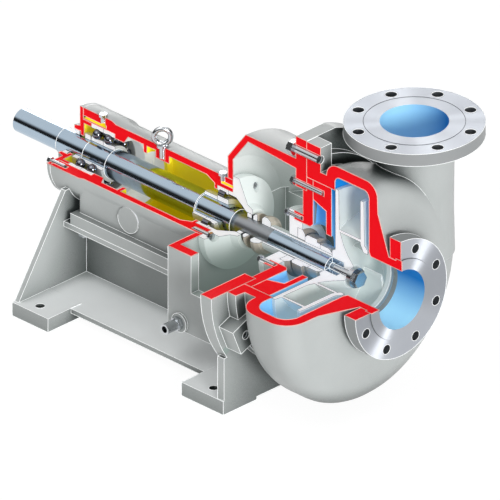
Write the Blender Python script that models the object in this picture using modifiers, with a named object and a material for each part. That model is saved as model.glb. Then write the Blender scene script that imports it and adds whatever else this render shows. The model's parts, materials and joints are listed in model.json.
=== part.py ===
"""Single-stage volute slurry pump, built as a cutaway display model.

The shaft lies along +X from its drive end at the origin to the suction flange, and +Z is up. The quarter
with Y below 0 and Z above 0 is cut out of the castings, covers, bearings, seal parts and impeller, so the
whole shaft shows. Angles round the shaft are counted from the top, over the near side (-Y), to the bottom.
"""

import math

import bmesh
import bpy
from mathutils import Matrix, Vector

MM = 0.001

# Clearances
FIT = 0.3 * MM
RUNNING = 0.8 * MM
OVERCUT = 5 * MM

# Shaft, from the drive end
STUB_LENGTH = 135 * MM
STUB_RADIUS = 22.5 * MM
STUB_RELIEF = 24 * MM
SHAFT_CHAMFER = 2 * MM
THREAD_RADIUS = 24 * MM
SEAT_RADIUS = 25 * MM
BODY_RADIUS = 28 * MM
SPACER_LENGTH = 32 * MM
SPACER_RADIUS = 32 * MM
FRONT_RADIUS = 19.5 * MM

# Bearings
BALL_BEARING_WIDTH = 29 * MM
BALL_BEARING_RADIUS = 60 * MM
BALL_PITCH_RADIUS = 43 * MM
BALL_RADIUS = 9.5 * MM
BALLS_PER_ROW = 12
ROLLER_BEARING_WIDTH = 27 * MM
ROLLER_BEARING_RADIUS = 55 * MM
ROLLER_PITCH_RADIUS = 42 * MM
ROLLER_RADIUS = 6 * MM
ROLLER_LENGTH = 15 * MM
ROLLERS_PER_ROW = 12
RACE_DEPTH = 1.5 * MM
CAGE_WALL = 4 * MM
CAGE_WIDTH = 8 * MM
LOCK_NUT_WIDTH = 14 * MM
LOCK_NUT_RADIUS = 34 * MM
NUT_SLOT = 4 * MM
LOCK_WASHER = 2 * MM
LOCK_WASHER_RADIUS = 31 * MM

# Bearing housing
HOUSING_RADIUS = 80 * MM
COLLAR_RADIUS = 84 * MM
COLLAR_LENGTH = 72 * MM
COLLAR_CHAMFER = 10 * MM
COVER_SPACE = 21 * MM
SHOULDER_LENGTH = 23 * MM
SHOULDER_RADIUS = 52 * MM
OIL_SPACE_LENGTH = 228 * MM
OIL_SPACE_RADIUS = 67 * MM
OIL_SPACE_FILLET = 10 * MM
FRONT_SHOULDER_LENGTH = 7 * MM
FRONT_SHOULDER_RADIUS = 47 * MM
FRONT_LAND = 12 * MM
SIDE_HALF_WIDTH = 76 * MM
SUMP_HALF_WIDTH = 64 * MM
SUMP_DEPTH = 68 * MM
FOOT_HALF_WIDTH = 90 * MM
FOOT_TOP = 74 * MM
FOOT_THICKNESS = 22 * MM
FOOT_SETBACK = 57 * MM
BULKHEAD_PLACE = 49 * MM
BULKHEAD_THICKNESS = 8 * MM
GALLERY_RADIUS = 62.5 * MM
GALLERY_HEIGHT = 6 * MM
GALLERY_WIDTH = 14 * MM
REAR_GALLERY_LENGTH = 58 * MM
FRONT_GALLERY_LENGTH = 30 * MM
SIDE_BOSS_RADIUS = 25 * MM
SIDE_BOSS_HEIGHT = 3 * MM
SIDE_BOSS_PLACE = 88 * MM
SIDE_BOSS_DROP = 42 * MM

# Bearing covers and oil seals
COVER_LIP = 14 * MM
COVER_PLATE = 8 * MM
COVER_WALL = 7 * MM
REAR_SEAL_RADIUS = 34 * MM
FRONT_COVER_RADIUS = 88 * MM
FRONT_COVER_RIM = 15 * MM
FRONT_COVER_DISH = 21 * MM
FRONT_HUB_LENGTH = 13 * MM
FRONT_HUB_RADIUS = 38 * MM
FRONT_SEAL_RADIUS = 29 * MM
SEAL_WIDTH = 11 * MM
SEAL_INSET = 2 * MM
COVER_BOLT_CIRCLE = 71 * MM
COVER_BOLT_RADIUS = 4 * MM
COVER_THREAD_DEPTH = 30 * MM
COVER_BOLT_ANGLES = (90, 210, 330)
SPOT_FACE_DEPTH = 3 * MM

# Lantern of the pedestal
LANTERN_LENGTH = 185 * MM
BACK_WALL = 13 * MM
BARREL_RADIUS = 184 * MM
BARREL_WALL = 12 * MM
BARREL_THICKENING = 10 * MM
CONE_START_RADIUS = 124 * MM
CONE_LENGTH = 32 * MM
BOX_HALF_WIDTH = 151 * MM
BOX_WALL = 19 * MM
BOX_DEPTH = 158 * MM
BOX_FLOOR = 8 * MM
BOX_TOP = 20 * MM
FLANGE_RADIUS = 240 * MM
FLANGE_THICKNESS = 27 * MM
FLANGE_BORE = 129 * MM
FLANGE_FLAT = 229 * MM
COLUMN_LENGTH = 58 * MM
WINDOW_HALF_HEIGHT = 75 * MM

# Base of the pedestal
SHAFT_HEIGHT = 245 * MM
BASE_HALF_WIDTH = 210 * MM
BASE_SETBACK = 188 * MM
PAD_THICKNESS = 27 * MM
REAR_PAD_LENGTH = 90 * MM
FRONT_PAD_LENGTH = 105 * MM
PAD_WIDTH = 84 * MM
FLOOR_HALF_WIDTH = 152 * MM
FLOOR_THICKNESS = 10 * MM
GUSSET_THICKNESS = 10 * MM
GUSSET_TOP = 36 * MM
WALL_SPREAD = 33 * MM
WALL_THICKNESS = 10 * MM
DECK_THICKNESS = 10 * MM
FRONT_WALL = 16 * MM
FRONT_WALL_TOP = 132 * MM
FRONT_WALL_LIFT = 6 * MM
CORE_HALF_WIDTH = 16 * MM
CORE_INSET = 80 * MM
ANCHOR_HOLE_RADIUS = 9 * MM
ANCHOR_SPREAD = 185 * MM
REAR_ANCHOR_INSET = 45 * MM
FRONT_ANCHOR_INSET = 49 * MM
DRAIN_DEPTH = 142 * MM
DRAIN_PLACE = 32 * MM

# Volute casing, from its joint with the lantern
CASING_LENGTH = 240 * MM
REGISTER_RADIUS = 157 * MM
CASING_FLANGE_RADIUS = 200 * MM
CASING_FLANGE_THICKNESS = 21 * MM
CASING_GROOVE_RADIUS = 179 * MM
VOLUTE_BACK = 50 * MM
VOLUTE_FRONT = 178 * MM
VOLUTE_START_RADIUS = 200 * MM
VOLUTE_GROWTH = 36 * MM
VOLUTE_WALL = 21 * MM
VOLUTE_CORNER = 22 * MM
CHAMBER_CORNER = 8 * MM
CORNER_GROWTH = 0.75
FRONT_CONE_RADIUS = 150 * MM
SUCTION_BORE = 57 * MM
BORE_LIP = 8 * MM
NECK_RADIUS = 73 * MM
NECK_LENGTH = 38 * MM
NECK_FLARE = 14 * MM
STUB_END_RADIUS = 77 * MM
STUB_END_LENGTH = 15 * MM
DISCHARGE_OFFSET = 159 * MM
DISCHARGE_PLACE = 112 * MM
DISCHARGE_HEIGHT = 252 * MM
DISCHARGE_BORE = 62 * MM
DISCHARGE_NECK_RADIUS = 76 * MM
DISCHARGE_STUB_RADIUS = 91 * MM
DISCHARGE_STUB_LENGTH = 16 * MM
LUG_RADIUS = 228 * MM
LUG_WIDTH = 54 * MM
LUG_LENGTH = 35 * MM
LUG_ANGLES = (0, 112.5, 247.5)
CASING_BOLT_CIRCLE = 204 * MM
CASING_BOLT_RADIUS = 8 * MM

# Pipe flanges
SUCTION_FLANGE_RADIUS = 114.5 * MM
SUCTION_FLANGE_THICKNESS = 27.5 * MM
SUCTION_FLANGE_RECESS = 2.5 * MM
SUCTION_BOLT_CIRCLE = 95.25 * MM
SUCTION_HOLE_RADIUS = 9.5 * MM
DISCHARGE_FLANGE_RADIUS = 127 * MM
DISCHARGE_FLANGE_THICKNESS = 24 * MM
DISCHARGE_BOLT_CIRCLE = 108 * MM
DISCHARGE_HOLE_RADIUS = 11 * MM
PIPE_HOLES = 8
FLANGE_SCREW_RADIUS = 2.5 * MM
FLANGE_SCREW_REACH = 14 * MM
FLANGE_SCREW_DEPTH = 10 * MM
FLANGE_SCREW_PLACE = 8 * MM

# Seal housing, wear plate and gland
SPIGOT_LENGTH = 9 * MM
SEAL_WALL = 16 * MM
SEAL_BORE = 60 * MM
SEAL_BORE_FLARE = 7 * MM
SEAL_HUB_RADIUS = 78 * MM
SEAL_HUB_LENGTH = 22 * MM
WEAR_RIM = 46 * MM
WEAR_FACE = 13 * MM
WEAR_BORE = 60 * MM
CHAMBER_RADIUS = 118 * MM
CHAMBER_TAPER = 12 * MM
GLAND_THICKNESS = 12 * MM
GLAND_BORE = 26 * MM
GLAND_SEAT_RADIUS = 46 * MM
GLAND_SEAT_DEPTH = 21 * MM
GLAND_SPIGOT_LENGTH = 21 * MM
GLAND_BOLT_CIRCLE = 69 * MM
GLAND_BOLT_RADIUS = 4 * MM
GLAND_THREAD_DEPTH = 22 * MM
GLAND_BOLT_ANGLES = (0, 90, 180, 270)
COVER_STUD_CIRCLE = 139 * MM
COVER_STUD_RADIUS = 5 * MM
COVER_STUD_GRIP = 70 * MM
COVER_STUD_ANGLES = (0, 120, 240)

# Shaft seal, along the shaft
FLINGER_GAP = 2 * MM
FLINGER_LENGTH = 10 * MM
FLINGER_RADIUS = 33 * MM
DRIVE_COLLAR_GAP = 12 * MM
DRIVE_COLLAR_LENGTH = 22 * MM
DRIVE_COLLAR_RADIUS = 36 * MM
SLEEVE_RADIUS = 24 * MM
STATIONARY_RING_LENGTH = 18 * MM
ROTARY_RING_LENGTH = 38 * MM
ROTARY_RING_RADIUS = 40 * MM
RETAINER_RADIUS = 33 * MM
RING_STEP = 6 * MM
RING_END = 8 * MM

# Impeller, from its back face
IMPELLER_RADIUS = 160 * MM
IMPELLER_GAP = 10 * MM
BACK_SHROUD = 8 * MM
PASSAGE_WIDTH = 55 * MM
FRONT_SHROUD = 8 * MM
EYE_RADIUS = 58 * MM
EYE_RING_LENGTH = 10 * MM
EYE_RING_WALL = 7 * MM
HUB_RADIUS = 33 * MM
HUB_BACK = 8 * MM
NOSE_RADIUS = 22 * MM
NOSE_LENGTH = 44 * MM
NOSE_WALL = 22 * MM
VANES = 5
VANE_THICKNESS = 8 * MM
VANE_START_RADIUS = 50 * MM
VANE_WRAP = math.radians(105)
VANE_LEAD = math.radians(60)
VANE_END_GAP = 2 * MM
PUMP_OUT_VANES = 5
PUMP_OUT_HEIGHT = 6 * MM
PUMP_OUT_WIDTH = 9 * MM
PUMP_OUT_START = 80 * MM
PUMP_OUT_END = 152 * MM
IMPELLER_BOLT_RADIUS = 8 * MM
IMPELLER_THREAD_DEPTH = 33 * MM
IMPELLER_BOLT_HEAD = 19 * MM
IMPELLER_BOLT_HEAD_LENGTH = 20 * MM

# Small fittings
EYE_BOLT_PLACE = 199 * MM
EYE_RING_RADIUS = 15 * MM
EYE_WIRE_RADIUS = 5 * MM
EYE_HEIGHT = 101 * MM
EYE_SHANK_RADIUS = 6 * MM
EYE_SHANK_DEPTH = 22 * MM
EYE_TAP_DEPTH = 25 * MM
EYE_COLLAR_RADIUS = 11 * MM
EYE_BOSS_RADIUS = 17 * MM
EYE_BOSS_BOTTOM = 52 * MM
PLUG_RADIUS = 5 * MM
PLUG_HEAD_RADIUS = 8 * MM
PLUG_HEAD_HEIGHT = 6 * MM
PLUG_DEPTH = 10 * MM
NIPPLE_RADIUS = 10 * MM
NIPPLE_BORE = 6.5 * MM
NIPPLE_REACH = 36 * MM
NIPPLE_DEPTH = 18 * MM
NIPPLE_BOSS_RADIUS = 18 * MM
NIPPLE_BOSS_HEIGHT = 5 * MM
FOOT_BOLT_RADIUS = 6 * MM
FOOT_BOLT_SPREAD = 76 * MM
FOOT_BOLT_INSET = 22 * MM
FOOT_BOLT_GRIP = 26 * MM
FOOT_TAP_DEPTH = 16 * MM

# Hex bolts, as shares of the shank radius
HEAD_RADIUS = 1.8
HEAD_LENGTH = 1.5
SPOT_FACE_RADIUS = 2.2

# Facets of a full turn
SIDES_LARGE = 24
SIDES_SMALL = 16
SIDES_FASTENER = 8

# Stations along the shaft, worked out from the lengths above
X_COVER_FACE = STUB_LENGTH + COVER_LIP
X_HOUSING_REAR = X_COVER_FACE + COVER_PLATE + FIT
X_BALLS_A = X_HOUSING_REAR + COVER_SPACE
X_BALLS_B = X_BALLS_A + BALL_BEARING_WIDTH + FIT
X_SHOULDER = X_BALLS_B + BALL_BEARING_WIDTH + FIT
X_OIL_SPACE = X_SHOULDER + SHOULDER_LENGTH
X_OIL_END = X_OIL_SPACE + OIL_SPACE_LENGTH
X_ROLLERS = X_OIL_END + FRONT_SHOULDER_LENGTH + FIT
X_ROLLERS_END = X_ROLLERS + ROLLER_BEARING_WIDTH
X_HOUSING_FRONT = X_ROLLERS_END + FRONT_LAND
X_LANTERN_REAR = X_HOUSING_FRONT - BACK_WALL
X_JOINT = X_HOUSING_FRONT + LANTERN_LENGTH
X_LANTERN_FLANGE = X_JOINT - FLANGE_THICKNESS
X_CASING = X_JOINT + FIT
X_SUCTION = X_JOINT + CASING_LENGTH
X_SEAL_WALL = X_JOINT - SPIGOT_LENGTH
X_SEAL_HUB = X_SEAL_WALL - SEAL_HUB_LENGTH
X_SEAL_FRONT = X_CASING + SEAL_WALL
X_GLAND = X_SEAL_HUB - FIT - GLAND_THICKNESS
X_WEAR_BACK = X_SEAL_FRONT + FIT
X_WEAR_FACE = X_WEAR_BACK + WEAR_RIM
X_IMPELLER = X_WEAR_FACE + IMPELLER_GAP
X_NOSE = X_IMPELLER + NOSE_LENGTH
X_SHAFT_END = X_NOSE - NOSE_WALL
X_COVER_RIM = X_HOUSING_FRONT + FRONT_COVER_RIM
X_COVER_HUB = X_COVER_RIM + FRONT_COVER_DISH
X_COVER_END = X_COVER_HUB + FRONT_HUB_LENGTH
X_FLINGER = X_COVER_END + FLINGER_GAP
X_DRIVE_COLLAR = X_FLINGER + FLINGER_LENGTH + DRIVE_COLLAR_GAP
X_SLEEVE = X_DRIVE_COLLAR + DRIVE_COLLAR_LENGTH + FIT
X_SLEEVE_END = X_IMPELLER - HUB_BACK - FIT
X_STATIONARY = X_GLAND + GLAND_SEAT_DEPTH + FIT
X_EYE_BOLT = X_HOUSING_REAR + EYE_BOLT_PLACE
X_DRAIN = X_LANTERN_REAR + DRAIN_PLACE
X_DISCHARGE = X_CASING + DISCHARGE_PLACE

# Heights below the shaft
Z_FOOT = -FOOT_TOP - FOOT_THICKNESS
Z_DECK = Z_FOOT - FIT
Z_DECK_LOW = Z_DECK - DECK_THICKNESS
Z_FLOOR = -SHAFT_HEIGHT
Z_PAD_TOP = Z_FLOOR + PAD_THICKNESS

ADD = "UNION"
CUT = "DIFFERENCE"

PARTS = bpy.data.collections.new("slurry_pump")
CUTTERS = bpy.data.collections.new("cutters")


def clear_scene():
    for obj in list(bpy.data.objects):
        bpy.data.objects.remove(obj)
    for collection in (PARTS, CUTTERS):
        bpy.context.scene.collection.children.link(collection)


def finish(name, colour, metallic, roughness):
    """A Principled finish; colour is linear RGB."""
    material = bpy.data.materials.new(name)
    material.use_nodes = True
    shader = material.node_tree.nodes["Principled BSDF"]
    shader.inputs["Base Color"].default_value = (*colour, 1)
    shader.inputs["Metallic"].default_value = metallic
    shader.inputs["Roughness"].default_value = roughness
    return material


CAST = finish("painted_cast_iron", (0.42, 0.45, 0.45), 0.0, 0.45)
STEEL = finish("polished_shaft_steel", (0.62, 0.72, 0.80), 1.0, 0.15)
BEARING = finish("bearing_steel", (0.80, 0.81, 0.82), 1.0, 0.25)
MACHINED = finish("machined_flange_steel", (0.68, 0.70, 0.73), 1.0, 0.3)
WHITE_IRON = finish("white_iron", (0.66, 0.68, 0.68), 0.2, 0.4)
CERAMIC = finish("seal_ceramic", (0.42, 0.37, 0.32), 0.0, 0.35)
SEAL_BRONZE = finish("seal_bronze", (0.72, 0.66, 0.56), 0.3, 0.35)
ZINC = finish("zinc_plated_steel", (0.70, 0.71, 0.73), 1.0, 0.3)
RUBBER = finish("seal_rubber", (0.05, 0.05, 0.05), 0.0, 0.7)


def from_bmesh(name, shape, matrix=None):
    """An object from a bmesh, moved to its place, smooth on its round faces."""
    if matrix:
        shape.transform(matrix)
    mesh = bpy.data.meshes.new(name)
    shape.to_mesh(mesh)
    shape.free()
    mesh.shade_smooth()
    mesh.set_sharp_from_angle(angle=math.radians(35))
    return bpy.data.objects.new(name, mesh)


def evaluated_shape(obj):
    """The bmesh that an object's curve or modifiers make; the object itself is removed."""
    bpy.context.scene.collection.objects.link(obj)
    evaluated = obj.evaluated_get(bpy.context.evaluated_depsgraph_get())
    shape = bmesh.new()
    shape.from_mesh(bpy.data.meshes.new_from_object(evaluated))
    bpy.data.objects.remove(obj)
    bmesh.ops.remove_doubles(shape, verts=shape.verts, dist=0.01 * MM)
    return shape


def turned(name, outline, sides, matrix=None):
    """Turn an outline of (distance along X, radius) points about the shaft axis.

    An outline that starts and ends on the axis makes a solid with flat ends, and any other a closed ring.
    Half a facet of turn keeps every corner off the planes of the cutaway.
    """
    solid = outline[0][1] == 0
    points = outline[1:-1] if solid else outline
    edges = [(i, i + 1) for i in range(len(points) - 1)]
    if not solid:
        edges.append((len(points) - 1, 0))
    mesh = bpy.data.meshes.new(name)
    mesh.from_pydata([(radius, 0, x) for x, radius in points], edges, [])
    profile = bpy.data.objects.new(name, mesh)
    screw = profile.modifiers.new("Screw", "SCREW")
    screw.axis = "Z"
    screw.steps = sides
    screw.render_steps = sides
    screw.use_merge_vertices = True
    screw.merge_threshold = 0.01 * MM
    shape = evaluated_shape(profile)
    if solid:
        bmesh.ops.holes_fill(shape, edges=shape.edges)
    bmesh.ops.recalc_face_normals(shape, faces=shape.faces)
    half_facet = Matrix.Rotation(math.pi / sides, 4, "Z")
    return from_bmesh(name, shape, (matrix or Matrix.Rotation(math.pi / 2, 4, "Y")) @ half_facet)


def ring(name, x0, x1, inner, outer, sides):
    return turned(name, [(x0, inner), (x0, outer), (x1, outer), (x1, inner)], sides)


def core(name, x0, x1, radius, sides, matrix=None):
    """A plain cylinder on the shaft axis whose corners line up with those of the turned parts."""
    return turned(name, [(x0, 0), (x0, radius), (x1, radius), (x1, 0)], sides, matrix)


def block(name, xs, ys, zs):
    shape = bmesh.new()
    bmesh.ops.create_cube(shape, size=1)
    size = Vector((xs[1] - xs[0], ys[1] - ys[0], zs[1] - zs[0]))
    centre = Vector((xs[0] + xs[1], ys[0] + ys[1], zs[0] + zs[1])) / 2
    return from_bmesh(name, shape, Matrix.Translation(centre) @ Matrix.Diagonal(size).to_4x4())


def both_sides(name, xs, inner, outer, zs):
    """Two equal blocks, one on each side of the shaft."""
    return [block(name + "_near", xs, (-outer, -inner), zs), block(name + "_far", xs, (inner, outer), zs)]


def rod(name, start, direction, length, radius, sides=SIDES_FASTENER):
    shape = bmesh.new()
    bmesh.ops.create_cone(shape, cap_ends=True, segments=sides, depth=length, radius1=radius, radius2=radius)
    axis = Vector(direction)
    turn = axis.to_track_quat("Z", "Y").to_matrix().to_4x4()
    half_facet = Matrix.Rotation(math.pi / sides, 4, "Z")
    return from_bmesh(name, shape, Matrix.Translation(Vector(start) + axis * length / 2) @ turn @ half_facet)


def plate(name, outline, thickness, matrix):
    """A flat outline given as (right, up) points, thickened both ways from its plane."""
    curve = bpy.data.curves.new(name, "CURVE")
    curve.dimensions = "2D"
    curve.fill_mode = "BOTH"
    curve.extrude = thickness / 2
    spline = curve.splines.new("POLY")
    spline.points.add(len(outline) - 1)
    for point, (right, up) in zip(spline.points, outline):
        point.co = (right, up, 0, 1)
    spline.use_cyclic_u = True
    return from_bmesh(name, evaluated_shape(bpy.data.objects.new(name, curve)), matrix)


# Turns a plate's right and up into +Y and +Z, so that it stands across the shaft
ACROSS = Matrix.Rotation(math.pi / 2, 4, "Z") @ Matrix.Rotation(math.pi / 2, 4, "X")


def around(angle, radius):
    """The Y and Z of a point at this angle from the top, over the near side."""
    turn = math.radians(angle)
    return -radius * math.sin(turn), radius * math.cos(turn)


def shaped(base, *steps):
    """Join or cut helpers in order; each step is ADD or CUT followed by its helpers."""
    for operation, *helpers in steps:
        for helper in helpers:
            if not helper.users_collection:
                CUTTERS.objects.link(helper)
                helper.hide_render = True
                helper.display_type = "WIRE"
            modifier = base.modifiers.new(helper.name, "BOOLEAN")
            modifier.object = helper
            modifier.operation = operation
            modifier.solver = "EXACT"
    return base


def piece(name, base, material, *steps, opened=False):
    """Make base a sub-part: shape it by its steps, then open the quarter."""
    base.name = name
    PARTS.objects.link(base)
    base.data.materials.append(material)
    shaped(base, *steps)
    if opened:
        shaped(base, (CUT, QUARTER))
    return base


def bolt_holes(name, x0, x1, circle, radius, angles):
    holes = []
    for angle in angles:
        y, z = around(angle, circle)
        holes.append(rod(f"{name}_{angle:g}", (x0, y, z), (1, 0, 0), x1 - x0, radius))
    return holes


def bolts(name, x_head, head_side, circle, radius, grip, angles):
    """Hex bolts parallel to the shaft. head_side is -1 for a head on the drive side, +1 for the other."""
    for number, angle in enumerate(angles, 1):
        y, z = around(angle, circle)
        seat = x_head + head_side * FIT
        head = rod("head", (seat, y, z), (head_side, 0, 0), HEAD_LENGTH * radius, HEAD_RADIUS * radius, 6)
        overlap = HEAD_LENGTH * radius / 2
        shank = rod(f"{name}_shank_{number}", (seat + head_side * overlap, y, z), (-head_side, 0, 0),
                    grip + overlap, radius)
        piece(f"{name}_{number}", head, ZINC, (ADD, shank))


def pipe_holes(name, circle, radius, start, direction, length):
    """Holes of a pipe flange, which straddle its centre lines."""
    axis = Vector(direction)
    side = Vector((0, 1, 0)) if axis.x else Vector((1, 0, 0))
    up = axis.cross(side)
    holes = []
    for number in range(PIPE_HOLES):
        turn = 2 * math.pi * (number + 0.5) / PIPE_HOLES
        centre = Vector(start) + (side * math.cos(turn) + up * math.sin(turn)) * circle
        holes.append(rod(f"{name}_{number}", centre, direction, length, radius))
    return holes


def build_shaft():
    """The stepped shaft, left whole except for the wedge that shows the impeller bolt."""
    x_stub = STUB_LENGTH - STUB_RELIEF
    x_seat = X_BALLS_A - FIT
    x_body = X_SHOULDER + FIT
    x_body_end = X_ROLLERS - FIT - SPACER_LENGTH
    shaft = turned("shaft", [
        (0, 0),
        (0, STUB_RADIUS - SHAFT_CHAMFER),
        (SHAFT_CHAMFER, STUB_RADIUS),
        (x_stub, STUB_RADIUS),
        (x_stub, THREAD_RADIUS),
        (x_seat, THREAD_RADIUS),
        (x_seat, SEAT_RADIUS),
        (x_body, SEAT_RADIUS),
        (x_body, BODY_RADIUS),
        (x_body_end, BODY_RADIUS),
        (x_body_end, SEAT_RADIUS),
        (X_COVER_RIM, SEAT_RADIUS),
        (X_COVER_RIM, FRONT_RADIUS),
        (X_SHAFT_END, FRONT_RADIUS),
        (X_SHAFT_END, 0),
    ], SIDES_SMALL)
    tapped_hole = rod("tapped_hole", (X_SHAFT_END - IMPELLER_THREAD_DEPTH, 0, 0), (1, 0, 0),
                      IMPELLER_THREAD_DEPTH + OVERCUT, IMPELLER_BOLT_RADIUS + FIT)
    wedge = block("shaft_wedge", (X_SLEEVE_END + FIT, X_SHAFT_END + OVERCUT),
                  (-2 * FRONT_RADIUS, 0), (0, 2 * FRONT_RADIUS))
    piece("shaft", shaft, STEEL, (CUT, tapped_hole, wedge))
    spacer = ring("front_spacer", x_body_end + FIT, X_ROLLERS - FIT, SEAT_RADIUS + FIT, SPACER_RADIUS, SIDES_SMALL)
    piece("front_spacer", spacer, BEARING, opened=True)


def race_ring(name, x0, width, bore, rim, race_outside):
    """A ball bearing ring with its race as a shallow groove, outside on the inner ring."""
    x1 = x0 + width
    middle = x0 + width / 2
    groove = width / 4
    if race_outside:
        race = [(middle - groove, rim), (middle, rim - RACE_DEPTH), (middle + groove, rim)]
        outline = [(x0, bore), (x0, rim), *race, (x1, rim), (x1, bore)]
    else:
        race = [(middle + groove, bore), (middle, bore + RACE_DEPTH), (middle - groove, bore)]
        outline = [(x0, bore), (x0, rim), (x1, rim), (x1, bore), *race]
    piece(name, turned(name, outline, SIDES_LARGE), BEARING, opened=True)


def ball(name, centre):
    shape = bmesh.new()
    bmesh.ops.create_uvsphere(shape, u_segments=8, v_segments=5, radius=BALL_RADIUS)
    return from_bmesh(name, shape, Matrix.Translation(centre))


def whole_angles(count):
    """Angles of the rolling elements that the cutaway leaves, both cut planes included."""
    pitch = 360 / count
    return [90 + number * pitch for number in range(count) if 90 + number * pitch <= 360]


def build_ball_row(name, x0):
    """One ball bearing: two rings, and the balls held as one set by a pressed cage."""
    middle = x0 + BALL_BEARING_WIDTH / 2
    inner_rim = BALL_PITCH_RADIUS - BALL_RADIUS + RACE_DEPTH - RUNNING
    outer_bore = BALL_PITCH_RADIUS + BALL_RADIUS - RACE_DEPTH + RUNNING
    race_ring(f"{name}_outer_ring", x0, BALL_BEARING_WIDTH, outer_bore, BALL_BEARING_RADIUS, False)
    race_ring(f"{name}_inner_ring", x0, BALL_BEARING_WIDTH, SEAT_RADIUS + FIT, inner_rim, True)
    cage = ring("cage", middle - CAGE_WIDTH / 2, middle + CAGE_WIDTH / 2,
                BALL_PITCH_RADIUS - CAGE_WALL / 2, BALL_PITCH_RADIUS + CAGE_WALL / 2, SIDES_LARGE)
    balls = [ball(f"{name}_ball_{angle:g}", (middle, *around(angle, BALL_PITCH_RADIUS)))
             for angle in whole_angles(BALLS_PER_ROW)]
    piece(f"{name}_ball_cage", cage, STEEL, (CUT, QUARTER), (ADD, *balls))


def build_roller_row():
    """The cylindrical roller bearing: lipped outer ring, plain inner ring, rollers with their cage."""
    x0 = X_ROLLERS
    x1 = X_ROLLERS_END
    middle = (x0 + x1) / 2
    half = ROLLER_LENGTH / 2
    inner_rim = ROLLER_PITCH_RADIUS - ROLLER_RADIUS - RUNNING
    outer_bore = ROLLER_PITCH_RADIUS + ROLLER_RADIUS + RUNNING
    inner = ring("roller_bearing_inner_ring", x0, x1, SEAT_RADIUS + FIT, inner_rim, SIDES_LARGE)
    piece("roller_bearing_inner_ring", inner, BEARING, opened=True)
    lip = outer_bore - 2 * RACE_DEPTH
    outer = turned("roller_bearing_outer_ring", [
        (x0, lip), (x0, ROLLER_BEARING_RADIUS), (x1, ROLLER_BEARING_RADIUS), (x1, lip),
        (middle + half + RUNNING, lip), (middle + half + RUNNING, outer_bore),
        (middle - half - RUNNING, outer_bore), (middle - half - RUNNING, lip),
    ], SIDES_LARGE)
    piece("roller_bearing_outer_ring", outer, BEARING, opened=True)
    cage = ring("cage", middle - CAGE_WIDTH / 2, middle + CAGE_WIDTH / 2,
                ROLLER_PITCH_RADIUS - CAGE_WALL / 2, ROLLER_PITCH_RADIUS + CAGE_WALL / 2, SIDES_LARGE)
    rollers = [
        rod(f"roller_{angle:g}", (middle - half, *around(angle, ROLLER_PITCH_RADIUS)), (1, 0, 0),
            ROLLER_LENGTH, ROLLER_RADIUS)
        for angle in whole_angles(ROLLERS_PER_ROW)
    ]
    piece("roller_bearing_roller_cage", cage, STEEL, (CUT, QUARTER), (ADD, *rollers))


def build_bearings():
    build_ball_row("rear_bearing_a", X_BALLS_A)
    build_ball_row("rear_bearing_b", X_BALLS_B)
    build_roller_row()
    x_washer = X_BALLS_A - FIT - LOCK_WASHER
    washer = ring("lock_washer", x_washer, X_BALLS_A - FIT, THREAD_RADIUS + FIT, LOCK_WASHER_RADIUS, SIDES_SMALL)
    piece("bearing_lock_washer", washer, ZINC, opened=True)
    x_nut = x_washer - FIT - LOCK_NUT_WIDTH
    nut = ring("lock_nut", x_nut, x_washer - FIT, THREAD_RADIUS + FIT, LOCK_NUT_RADIUS, SIDES_SMALL)
    slots = bolt_holes("nut_slot", x_nut - OVERCUT, x_washer + OVERCUT, LOCK_NUT_RADIUS, NUT_SLOT,
                       (45, 135, 225, 315))
    piece("bearing_lock_nut", nut, STEEL, (CUT, *slots), opened=True)


def plug_places():
    return [
        ("rear_grease_plug", X_BALLS_B, COLLAR_RADIUS),
        ("front_grease_plug", (X_ROLLERS + X_ROLLERS_END) / 2, HOUSING_RADIUS),
    ]


def foot_bolt_places():
    x_rear = X_HOUSING_REAR + FOOT_SETBACK + FOOT_BOLT_INSET
    x_front = X_LANTERN_REAR - FOOT_BOLT_INSET
    return [
        (f"foot_bolt_{end}_{side}", x, sign * FOOT_BOLT_SPREAD)
        for end, x in (("rear", x_rear), ("front", x_front))
        for side, sign in (("near", -1), ("far", 1))
    ]


def anchor_places():
    x_rear = BASE_SETBACK + REAR_ANCHOR_INSET
    x_front = X_JOINT - FRONT_ANCHOR_INSET
    return [
        (f"anchor_hole_{end}_{side}", x, sign * ANCHOR_SPREAD)
        for end, x in (("rear", x_rear), ("front", x_front))
        for side, sign in (("near", -1), ("far", 1))
    ]


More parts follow.
